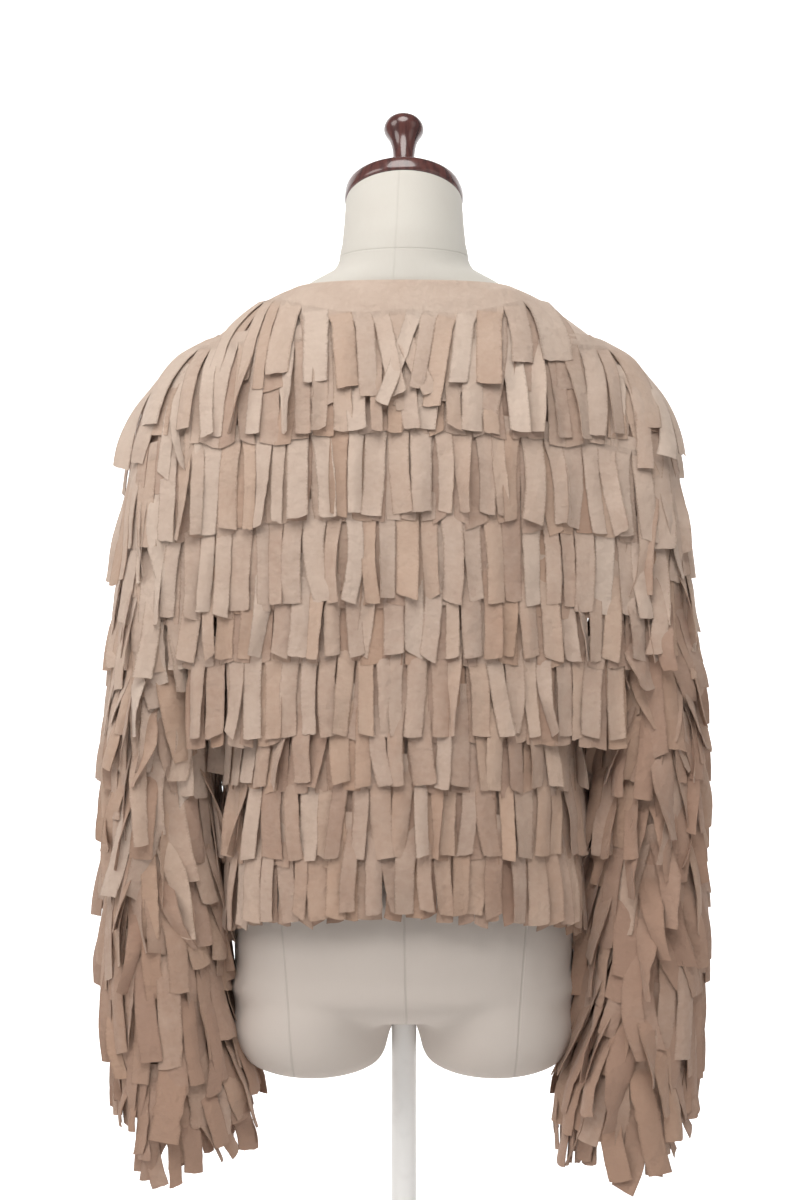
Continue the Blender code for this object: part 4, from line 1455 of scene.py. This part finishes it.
class JACKET_OT_cut_panels(bpy.types.Operator):
    """Cut the back, the two fronts and the two sleeves"""

    bl_idname = "jacket.cut_panels"
    bl_label = "Back, fronts and sleeves"

    def execute(self, context):
        cloth = context.scene.jacket_cloth
        material = suedette("jacket cloth", cloth, False)
        body = Workshop.body()

        def back_edges(z):
            return -side_edge(z, 1), side_edge(z, 1)

        def front_edges(z):
            return side_edge(z, -1), centre_edge(z)

        back = body_panel_points(body, NECKLINE_Z, back_edges, BACK_CREASES, cloth, columns=61)
        front = body_panel_points(body, SHOULDER_TIP_Z, front_edges, FRONT_CREASES, cloth, columns=31)
        sleeve = sleeve_points(Workshop.sleeve(), cloth)
        panels = [("back", back, 1)]
        for kind, points in (("front", front), ("sleeve", sleeve)):
            panels += [(f"{kind}_{side}", points, mirror) for side, mirror in SIDES]
        for node, points, mirror in panels:
            fit(panel_piece(f"{node}_cloth", points, mirror, cloth, material), "jacket_cloth", node)
        return {"FINISHED"}


# ---------------------------------------------------------------- sewing the fringe on
SEEDS = {"collar": 31, "back": 100, "front": 200, "sleeve": 400}
COLLAR_TONE = 0.20  # from the pale to the deep dye
BACK_TONE = 0.29  # above the first row
FRONT_TONE = 0.31
TONE_A_ROW = 0.055  # how much deeper each row is made than the one above it, as painted shade towards the hem, away from the light above


class JACKET_OT_sew_back_fringe(bpy.types.Operator):
    """Sew the rows of fringe across the back"""

    bl_idname = "jacket.sew_back_fringe"
    bl_label = "Back fringe"

    def execute(self, context):
        fringe = context.scene.jacket_fringe
        material = Workshop.fringe_cloth(context.scene)
        for number, row in enumerate(BACK_ROWS, 1):
            chance = np.random.default_rng(SEEDS["back"] + number)
            if number <= len(WIDE_ROWS):
                row, surface = WIDE_ROWS[number - 1], Workshop.shoulders()
                reach = row.right_end, row.left_end
            else:
                surface, reach = Workshop.body(), row_reach(row, 1) * np.array([-1, 1])
            # Deeper for each row down: painted shade.
            tone = BACK_TONE + TONE_A_ROW * number
            combs = two_layers(surface, row_top(surface, row), reach, row.length, fringe, chance, tone)
            piece = fringe_piece(f"strips_back_{number}", combs, fringe, material)
            fit(piece, "fringe_cloth", f"fringe_back_{number}")
        return {"FINISHED"}


class JACKET_OT_sew_front_fringe(bpy.types.Operator):
    """Sew the rows of fringe on the two fronts"""

    bl_idname = "jacket.sew_front_fringe"
    bl_label = "Front fringe"

    def execute(self, context):
        fringe, body = context.scene.jacket_fringe, Workshop.body()
        material = Workshop.fringe_cloth(context.scene)
        for number, row in enumerate(FRONT_ROWS, 1):
            top = row_top(body, row)
            end = min(centre_edge(z) for z in (row.side_z, row.side_z - row.length)) - ROW_MARGIN
            span = (row_reach(row, -1), end)
            # Deeper for each row down: painted shade.
            tone = FRONT_TONE + TONE_A_ROW * number
            for side, mirror in SIDES:
                chance = np.random.default_rng(SEEDS["front"] + 10 * number + mirror)
                combs = two_layers(body, top, span, row.length, fringe, chance, tone)
                piece = fringe_piece(f"strips_front_{side}_{number}", combs, fringe, material, mirror)
                fit(piece, "fringe_cloth", f"fringe_front_{side}_{number}")
        return {"FINISHED"}


def collar_top(surface, neckline, heights):
    """How far down the surface the neckline's edge is."""
    known = np.linspace(-2, 2, 161)
    depths = surface.down_to(known, np.interp(np.abs(known), neckline, heights)) + COLLAR_INSET

    def top(where):
        return np.interp(where, known, depths)

    return top


def collar_rumple(top):
    """What lifts the collar's band in soft waves, and presses it down at the shoulders and its edge."""

    def rumple(where, down):
        pressed = np.exp(-(((np.abs(where) - 1.10) / 0.38) ** 6))
        sewn = 1 - eased((down - top(where)) / 0.022)
        soft = 0.0010 * np.sin(9 * where + 1.0) * np.sin(260 * down + 5 * where)
        return soft * (1 - pressed) * (1 - sewn) - np.maximum(0.0040 * pressed, 0.0036 * sewn)

    return rumple


def collar_flare(fringe):
    """How fast the collar stands off: hardly at all along the shoulders."""

    def flare(where):
        along_shoulder = np.exp(-(((np.abs(where) - 1.05) / 0.22) ** 2))
        return fringe.flare * (1.1 - 0.9 * along_shoulder)

    return flare


def placed_cuts(fringe):
    """The columns of the cuts across the back, whose places are known."""
    quarter = body_quarter(NECKLINE_Z - 0.7 * fringe.collar_band, 1)
    share = np.linspace(0, 1, len(quarter))
    cuts = [*(strip.cut_x for strip in COLLAR_STRIPS), LAST_CUT_X]
    return [math.copysign(np.interp(abs(x), quarter[:, 0], share), x) for x in cuts]


def collar_strips(layer, middle, placed, first, fringe, chance):
    """The strips of one of the collar's layers, of which the upper one's are known across the back."""
    plain = (middle < placed[0]) & (middle > -PLAIN_SHOULDER)
    plain |= (middle > placed[-1] + LEFT_SHOULDER_CUTS[-1]) & (middle < PLAIN_SHOULDER)
    length = np.where(plain, 0.0, fringe.collar_length - fringe.collar_band)
    # The collar's lower layer is dyed deeper too, as painted shade.
    strips = cut_strips(chance, len(middle), 1.0, COLLAR, COLLAR_TONE + LOWER_TONE * layer)
    calm = eased((np.abs(np.abs(middle) - 1) - 0.15) / 0.2)  # strips lie flat along the shoulders
    strips = strips._replace(
        length=length * strips.length * (1 + 0.06 * layer),
        twist=strips.twist * calm,
        curl=strips.curl * calm - 0.0035 * (1 - calm),
        cup=strips.cup * calm,
        order=strips.order * (0.3 + 0.7 * calm),
    )
    if layer:
        return settled(strips)
    for number, strip in enumerate(COLLAR_STRIPS, first):
        for column in ("length", "sway", "twist", "order"):
            getattr(strips, column)[number] = getattr(strip, column)
    return strips


class JACKET_OT_sew_collar_fringe(bpy.types.Operator):
    """Sew the fringe round the neckline, with its plain band"""

    bl_idname = "jacket.sew_collar_fringe"
    bl_label = "Collar fringe"

    def execute(self, context):
        fringe = context.scene.jacket_fringe
        surface = Workshop.shoulders()
        heights = np.linspace(NECKLINE_Z, NECKLINE_Z - FRONT_NECK_DROP, 40)
        neckline = [centre_edge(z) for z in heights]
        end = neckline[-1] - ROW_MARGIN
        top = collar_top(surface, neckline, heights)
        placed = placed_cuts(fringe)
        combs = []
        for layer in (0, 1):
            chance = np.random.default_rng(SEEDS["collar"] + layer)
            edges = cut_edges(surface, top, (-end, end), fringe.width * COLLAR_STRIP, chance)
            right, left = edges[edges < placed[0] - 0.06], edges[edges > placed[-1] + 0.20]
            if layer == 0:
                beyond = placed[-1] + np.array(LEFT_SHOULDER_CUTS)
                edges = np.concatenate([right, placed, beyond, left])
            strips = collar_strips(layer, strip_middles(edges), placed, len(right), fringe, chance)
            height = layer_height(COLLAR_LIFTS, layer)
            seam = Seam(surface, top, collar_flare(fringe), *height, collar_rumple(top))
            combs.append(comb(seam, edges, fringe.collar_band, strips, COLLAR, chance))
        piece = fringe_piece("strips_collar", combs, fringe, Workshop.fringe_cloth(context.scene))
        fit(piece, "fringe_cloth", "fringe_collar")
        return {"FINISHED"}


def sleeve_flare(fringe):
    """How fast a sleeve's rows stand off: more on the side of the body."""

    def flare(where):
        return fringe.flare * (0.70 + 0.9 * inner_share(where))

    return flare


def sleeve_puff(top, puff, band):
    """What lifts a sleeve's band on the side of the body, from nothing at its sewn edge."""

    def rumple(where, down):
        return puff * inner_share(where) * eased((down - top(where)) / band)

    return rumple


def worn_sleeve_strips(strips, length, middle):
    """Strips of a sleeve as they hang on it: inwards behind, and orderly at its outer side.

    The front edges of the outer ones stand off, so that their faces show from behind.
    """
    inward = -0.007 * np.exp(-(((middle + 0.13) / 0.06) ** 2))
    outer = outer_share(middle)
    calm = 1 - 0.6 * outer
    opened = 0.25 + 0.65 * np.abs(strips.twist)
    return strips._replace(
        length=length * strips.length,
        sway=strips.sway + inward,
        twist=strips.twist * (1 - outer**2) + opened * outer**2,
        curl=strips.curl * calm,
        order=strips.order * calm,
    )


class JACKET_OT_sew_sleeve_fringe(bpy.types.Operator):
    """Sew the rows of fringe round the sleeves"""

    bl_idname = "jacket.sew_sleeve_fringe"
    bl_label = "Sleeve fringe"

    def execute(self, context):
        fringe = context.scene.jacket_fringe
        material = Workshop.fringe_cloth(context.scene)
        for number, row in enumerate(SLEEVE_ROWS, 1):
            for side, mirror in SIDES:
                chance = np.random.default_rng(SEEDS["sleeve"] + 10 * number + mirror)
                combs = self.row_combs(number, row, side, fringe, chance)
                piece = fringe_piece(f"strips_sleeve_{side}_{number}", combs, fringe, material, mirror)
                fit(piece, "fringe_cloth", f"fringe_sleeve_{side}_{number}")
        return {"FINISHED"}

    def row_combs(self, number, row, side, fringe, chance):
        """A row and the rows in between below it, on the left sleeve's surface."""
        sleeve = Workshop.sleeve()
        last = number == len(SLEEVE_ROWS)
        drop = LAST_SPACING if last else row.outer_z - SLEEVE_ROWS[number].outer_z
        inner_drop = LAST_SPACING if last else row.inner_z - SLEEVE_ROWS[number].inner_z
        is_open = number <= OPEN_SLEEVE_ROWS
        span, stay = (OPEN_ROW_SPAN, OPEN_ROW_STAY) if is_open else (ALL_ROUND, ANYWHERE)
        hang = LOOSE if number <= TANGLED_SLEEVE_ROWS else CUFF
        puff = PUFF_A_ROW * min(number, 7)
        row_tone = row.left_tone if side == "left" else row.right_tone
        combs = []
        for layer, step in enumerate((0.0, *row.between)):
            heights = row.outer_z - step * drop, row.inner_z - step * inner_drop
            top = sleeve_row_top(sleeve, *heights, chance)
            edges = cut_edges(sleeve, top, span, fringe.width * SLEEVE_STRIP, chance)
            middle = strip_middles(edges)
            # The row's tone and its layers' deeper tones carry painted shade.
            strips = cut_strips(chance, len(middle), 1.0, hang, row_tone + SLEEVE_LAYER_TONES[layer])
            length = row.length - fringe.band - 0.004 * layer
            if last:
                cut = CUFF_CUTS[side]
                outer_rises = cut.outer_rise * outer_share(middle) ** 0.5
                inner_rises = cut.inner_rise * inner_share(middle) ** 0.5
                length = length - cut.behind - (outer_rises + inner_rises)
            strips = worn_sleeve_strips(strips, length, middle)
            height = layer_height(SLEEVE_LIFTS, layer)
            rumple = sleeve_puff(top, puff, fringe.band)
            seam = Seam(sleeve, top, sleeve_flare(fringe), *height, rumple, stay)
            combs.append(comb(seam, edges, fringe.band, strips, hang, chance))
        return combs


class JACKET_OT_lay_out_cloth(bpy.types.Operator):
    """Gather the back's rows of strips and the collar strips, and do nothing more with them"""

    bl_idname = "jacket.lay_out_cloth"
    bl_label = "Flat cuts"

    def execute(self, context):
        objects = bpy.data.objects
        back = [objects[f"strips_back_{n}"] for n in range(1, len(BACK_ROWS) + 1)]
        back.append(objects["strips_collar"])
        return {"FINISHED"}


# ---------------------------------------------------------------- form, wood and stand
def lofted(rings):
    """A closed body through rings of the same number of points, from the lowest up."""
    rings = np.asarray(rings)
    count, across = rings.shape[:2]
    points = rings.reshape(-1, 3)
    j, i = np.meshgrid(np.arange(count - 1), np.arange(across), indexing="ij")
    a, b = (j * across + i).ravel(), (j * across + (i + 1) % across).ravel()
    faces = np.stack([a, b, b + across, a + across], axis=1).tolist()
    faces.append(list(range(across))[::-1])
    faces.append(list(range((count - 1) * across, count * across)))
    return points, faces


def torso_rings(low, high, count, sides):
    """Level rings of the form's torso."""
    angle = round_angles(sides)
    rings = []
    for z in np.linspace(low, high, count):
        width, back, front, square = section(TORSO_RINGS, z, BodyRing._fields[1:])
        x, y = rounded_ring(width, 1.0, square, angle)
        rings.append(np.stack([x, np.where(y >= 0, y * back, y * front), np.full(sides, z)], axis=1))
    return rings


def neck_rings(steps, sides):
    """Rings from the top of the torso up the leaning neck."""
    first = TORSO_RINGS[-1]
    table = (NeckRing(0.0, first.z, (first.half_width + first.front_depth) / 2, 0.0), *NECK_RINGS)
    angle = round_angles(sides)
    start = torso_rings(first.z, first.z, 1, sides)[0]
    rings = []
    for place in np.linspace(0, len(table) - 1, steps)[1:]:
        y, z, radius, tilt = (np.interp(place, range(len(table)), column) for column in zip(*table))
        lean = math.radians(tilt)
        ring = np.stack(
            [
                radius * np.cos(angle),
                y + radius * np.sin(angle) * math.cos(lean),
                z + radius * np.sin(angle) * math.sin(lean),
            ],
            axis=1,
        )
        if place < 1:  # the torso's last ring going over to the neck's first one
            level = np.stack([start[:, 0], start[:, 1] + y, np.full(sides, z)], axis=1)
            ring = level + (ring - level) * place
        rings.append(ring)
    return rings


def leg_rings(table, mirror, count, sides):
    """Level rings of a thigh, or of the filling between it and the hip."""
    angle = round_angles(sides)
    rings = []
    for z in np.linspace(table[0].z, table[-1].z, count):
        middle, width, depth = section(table, z, LegRing._fields[1:])
        x, y = mirror * middle + width * np.cos(angle), THIGH_Y + depth * np.sin(angle)
        rings.append(np.stack([x, y, np.full(sides, z)], axis=1))
    return rings


def one_skin(solids, context):
    """One smooth skin over solids that run into each other, as a mesh."""
    points, faces, start = [], [], 0
    for solid_points, solid_faces in solids:
        points.append(solid_points)
        faces += [[i + start for i in face] for face in solid_faces]
        start += len(solid_points)
    padding = bpy.data.objects.new("padding", bpy.data.meshes.new("padding"))
    padding.data.from_pydata(np.concatenate(points).tolist(), [], faces)
    context.scene.collection.objects.link(padding)
    grown = padding.modifiers.new("one skin", "REMESH")
    grown.mode, grown.voxel_size = "VOXEL", 0.0045
    relaxed = padding.modifiers.new("stretched", "SMOOTH")
    relaxed.factor, relaxed.iterations = 0.5, 14
    skin = bpy.data.meshes.new_from_object(padding.evaluated_get(context.evaluated_depsgraph_get()))
    bpy.data.objects.remove(padding)
    return skin


class JACKET_OT_cover_form(bpy.types.Operator):
    """Build the dress form and stretch its linen cover over it"""

    bl_idname = "jacket.cover_form"
    bl_label = "Dress form"

    def execute(self, context):
        material = stretched_linen("form linen", context.scene.jacket_form)
        hidden_z = 0.452  # behind the jacket, where the smooth hips meet the upper form
        upper = torso_rings(hidden_z, TORSO_RINGS[-1].z, 110, 96) + neck_rings(26, 96)
        form = add_piece("linen_form", *lofted(upper), material, sharp=50)

        hips = [torso_rings(TORSO_RINGS[0].z, 0.50, 60, 96)]
        for table in (LEG_RINGS, HIP_RINGS):
            hips += [leg_rings(table, mirror, 40, 64) for _, mirror in SIDES]
        joined = bmesh.new()
        joined.from_mesh(one_skin([lofted(rings) for rings in hips], context))
        everything = joined.verts[:] + joined.edges[:] + joined.faces[:]
        bmesh.ops.bisect_plane(
            joined, geom=everything, plane_co=(0, 0, hidden_z), plane_no=(0, 0, 1), clear_outer=True
        )
        joined.from_mesh(form.data)
        for face in joined.faces:
            face.smooth = True
        joined.to_mesh(form.data)
        joined.free()
        form.data.set_sharp_from_angle(angle=math.radians(60))
        fit(form, "form_linen", "dress_form")
        return {"FINISHED"}


def turned(name, profile, steps, material, place=None):
    """A solid turned about its upright axis from (radius, height) points that go up its outside."""
    built = bmesh.new()
    verts = [built.verts.new((radius, 0, height)) for radius, height in profile]
    edges = [built.edges.new(pair) for pair in zip(verts, verts[1:])]
    bmesh.ops.spin(
        built,
        geom=verts + edges,
        cent=(0, 0, 0),
        axis=(0, 0, 1),
        angle=2 * math.pi,
        steps=steps,
        use_merge=True,
    )
    bmesh.ops.remove_doubles(built, verts=built.verts[:], dist=0.00001)
    bmesh.ops.recalc_face_normals(built, faces=built.faces[:])
    mesh = bpy.data.meshes.new(name)
    built.to_mesh(mesh)
    built.free()
    if place:
        mesh.transform(place)
    return set_out(name, mesh, material, 50)


class JACKET_OT_turn_wood(bpy.types.Operator):
    """Turn the wooden cap and knob on the neck"""

    bl_idname = "jacket.turn_wood"
    bl_label = "Cap and knob"

    def execute(self, context):
        stand = context.scene.jacket_stand
        material = varnished_wood("varnished wood", stand)
        neck = NECK_RINGS[-1]
        lean = Matrix.Rotation(math.radians(neck.tilt), 4, "X")
        up = lean @ Vector((0, 0, 1))
        seat = Vector((0, neck.y, neck.z)) + up * SEAT_GAP
        cap = turned("wood_cap", CAP_PROFILE, stand.facets, material, Matrix.Translation(seat) @ lean)
        top = seat + up * (CAP_PROFILE[-1][1] + SEAT_GAP)
        knob = turned("wood_knob", KNOB_PROFILE, stand.facets, material, Matrix.Translation(top) @ lean)
        fit(cap, "dark_wood", "neck_cap")
        fit(knob, "dark_wood", "neck_knob")
        return {"FINISHED"}


class JACKET_OT_build_stand(bpy.types.Operator):
    """Build the pole and its round base"""

    bl_idname = "jacket.build_stand"
    bl_label = "Stand"

    def execute(self, context):
        stand = context.scene.jacket_stand
        material = baked_enamel("stand enamel", stand)
        foot = BASE_THICKNESS + SEAT_GAP
        pole_profile = ((0, foot), (POLE_RADIUS, foot), (POLE_RADIUS, POLE_TOP), (0, POLE_TOP))
        pole = turned("enamel_pole", pole_profile, stand.facets, material)
        base = turned("enamel_base", BASE_PROFILE, stand.facets, material)
        fit(pole, "stand_enamel", "stand_pole")
        fit(base, "stand_enamel", "stand_base")
        return {"FINISHED"}


# ---------------------------------------------------------------- stage
def studio_sweep(stage):
    """The floor, which bends up into the sweep behind the form."""
    bend = np.linspace(0, math.pi / 2, 17)
    reach, radius, back_y, height = 5.0, 0.9, -2.6, 4.5
    profile = [(reach, 0.0)]
    profile += [(back_y + radius - radius * math.sin(a), radius - radius * math.cos(a)) for a in bend]
    profile += [(back_y, height)]
    across = np.linspace(-reach, reach, 9)
    points = np.array([[(x, y, z - 0.0002) for x in across] for y, z in profile])
    quads = sheet_quads(*points.shape[:2])
    return add_piece("studio_floor", points.reshape(-1, 3), quads, studio_paper("studio paper", stage))


def soft_light(name, place, target, size, power, colour):
    """A round lamp that shines on a target."""
    lamp = bpy.data.lights.new(name, "AREA")
    lamp.shape, lamp.size, lamp.energy, lamp.color = "DISK", size, power, colour
    light = bpy.data.objects.new(name, lamp)
    light.location = place
    light.rotation_euler = (Vector(target) - Vector(place)).to_track_quat("-Z", "Y").to_euler()
    bpy.context.scene.collection.objects.link(light)


def bright_room(stage):
    """Even light from all round."""
    room = bpy.data.worlds.new("room")
    room.use_nodes = True
    background = room.node_tree.nodes["Background"]
    background.inputs["Color"].default_value = (1.0, 0.99, 0.98, 1.0)
    background.inputs["Strength"].default_value = stage.sky
    return room


def camera_behind(stage):
    """A level camera behind the jacket."""
    lens = bpy.data.cameras.new("camera behind")
    lens.sensor_width, lens.lens = 36.0, stage.lens
    lens.clip_start = 0.05
    camera = bpy.data.objects.new("camera behind", lens)
    camera.location = (0.004, stage.distance, stage.eye_height)
    camera.rotation_euler = (math.pi / 2, 0, math.pi)
    bpy.context.scene.collection.objects.link(camera)
    return camera


class JACKET_OT_set_stage(bpy.types.Operator):
    """Set the pale floor, the soft studio light and the camera behind the jacket"""

    bl_idname = "jacket.set_stage"
    bl_label = "Stage"

    def execute(self, context):
        scene, stage = context.scene, context.scene.jacket_stage
        studio_sweep(stage)
        soft_light("key light", (0.20, 1.6, 2.75), (0, 0, 0.75), 2.0, stage.key, (1.0, 0.985, 0.96))
        soft_light("left light", (2.2, 1.3, 1.9), (0, 0, 0.8), 1.6, stage.fill * 2.4, (1.0, 0.95, 0.91))
        soft_light("right light", (-2.2, 1.5, 1.7), (0, 0, 0.9), 1.6, stage.fill * 0.4, (1.0, 0.95, 0.88))
        soft_light("front light", (-0.8, -2.0, 2.4), (0, 0, 0.7), 1.6, stage.fill * 1.4, (0.97, 0.98, 1.0))
        scene.world = bright_room(stage)
        scene.view_settings.view_transform = "Standard"
        scene.view_settings.look = "None"
        scene.camera = camera_behind(stage)
        return {"FINISHED"}


# ---------------------------------------------------------------- add-on
OPERATORS = (
    JACKET_OT_set_stage,
    JACKET_OT_cut_panels,
    JACKET_OT_sew_collar_fringe,
    JACKET_OT_sew_back_fringe,
    JACKET_OT_sew_front_fringe,
    JACKET_OT_sew_sleeve_fringe,
    JACKET_OT_lay_out_cloth,
    JACKET_OT_cover_form,
    JACKET_OT_turn_wood,
    JACKET_OT_build_stand,
)
SETTINGS = {
    "jacket_cloth": ClothSettings,
    "jacket_fringe": FringeSettings,
    "jacket_form": FormSettings,
    "jacket_stand": StandSettings,
    "jacket_stage": StageSettings,
}


class JACKET_PT_workshop(bpy.types.Panel):
    """Sizes, colours and steps of the jacket"""

    bl_idname = "JACKET_PT_workshop"
    bl_label = "Fringed Jacket"
    bl_space_type = "VIEW_3D"
    bl_region_type = "UI"
    bl_category = "Jacket"

    def draw(self, context):
        for operator in OPERATORS:
            self.layout.operator(operator.bl_idname)
        for name in SETTINGS:
            settings = getattr(context.scene, name)
            box = self.layout.box()
            for prop in settings.__annotations__:
                box.prop(settings, prop)


def register():
    for made in (*SETTINGS.values(), *OPERATORS, JACKET_PT_workshop):
        bpy.utils.register_class(made)
    for name, kind in SETTINGS.items():
        setattr(bpy.types.Scene, name, bpy.props.PointerProperty(type=kind))


def unregister():
    for name in SETTINGS:
        delattr(bpy.types.Scene, name)
    for made in (JACKET_PT_workshop, *reversed(OPERATORS), *SETTINGS.values()):
        bpy.utils.unregister_class(made)


def main():
    register()
    for operator in OPERATORS:
        group, name = operator.bl_idname.split(".")
        getattr(getattr(bpy.ops, group), name)()


if __name__ == "__main__":
    main()
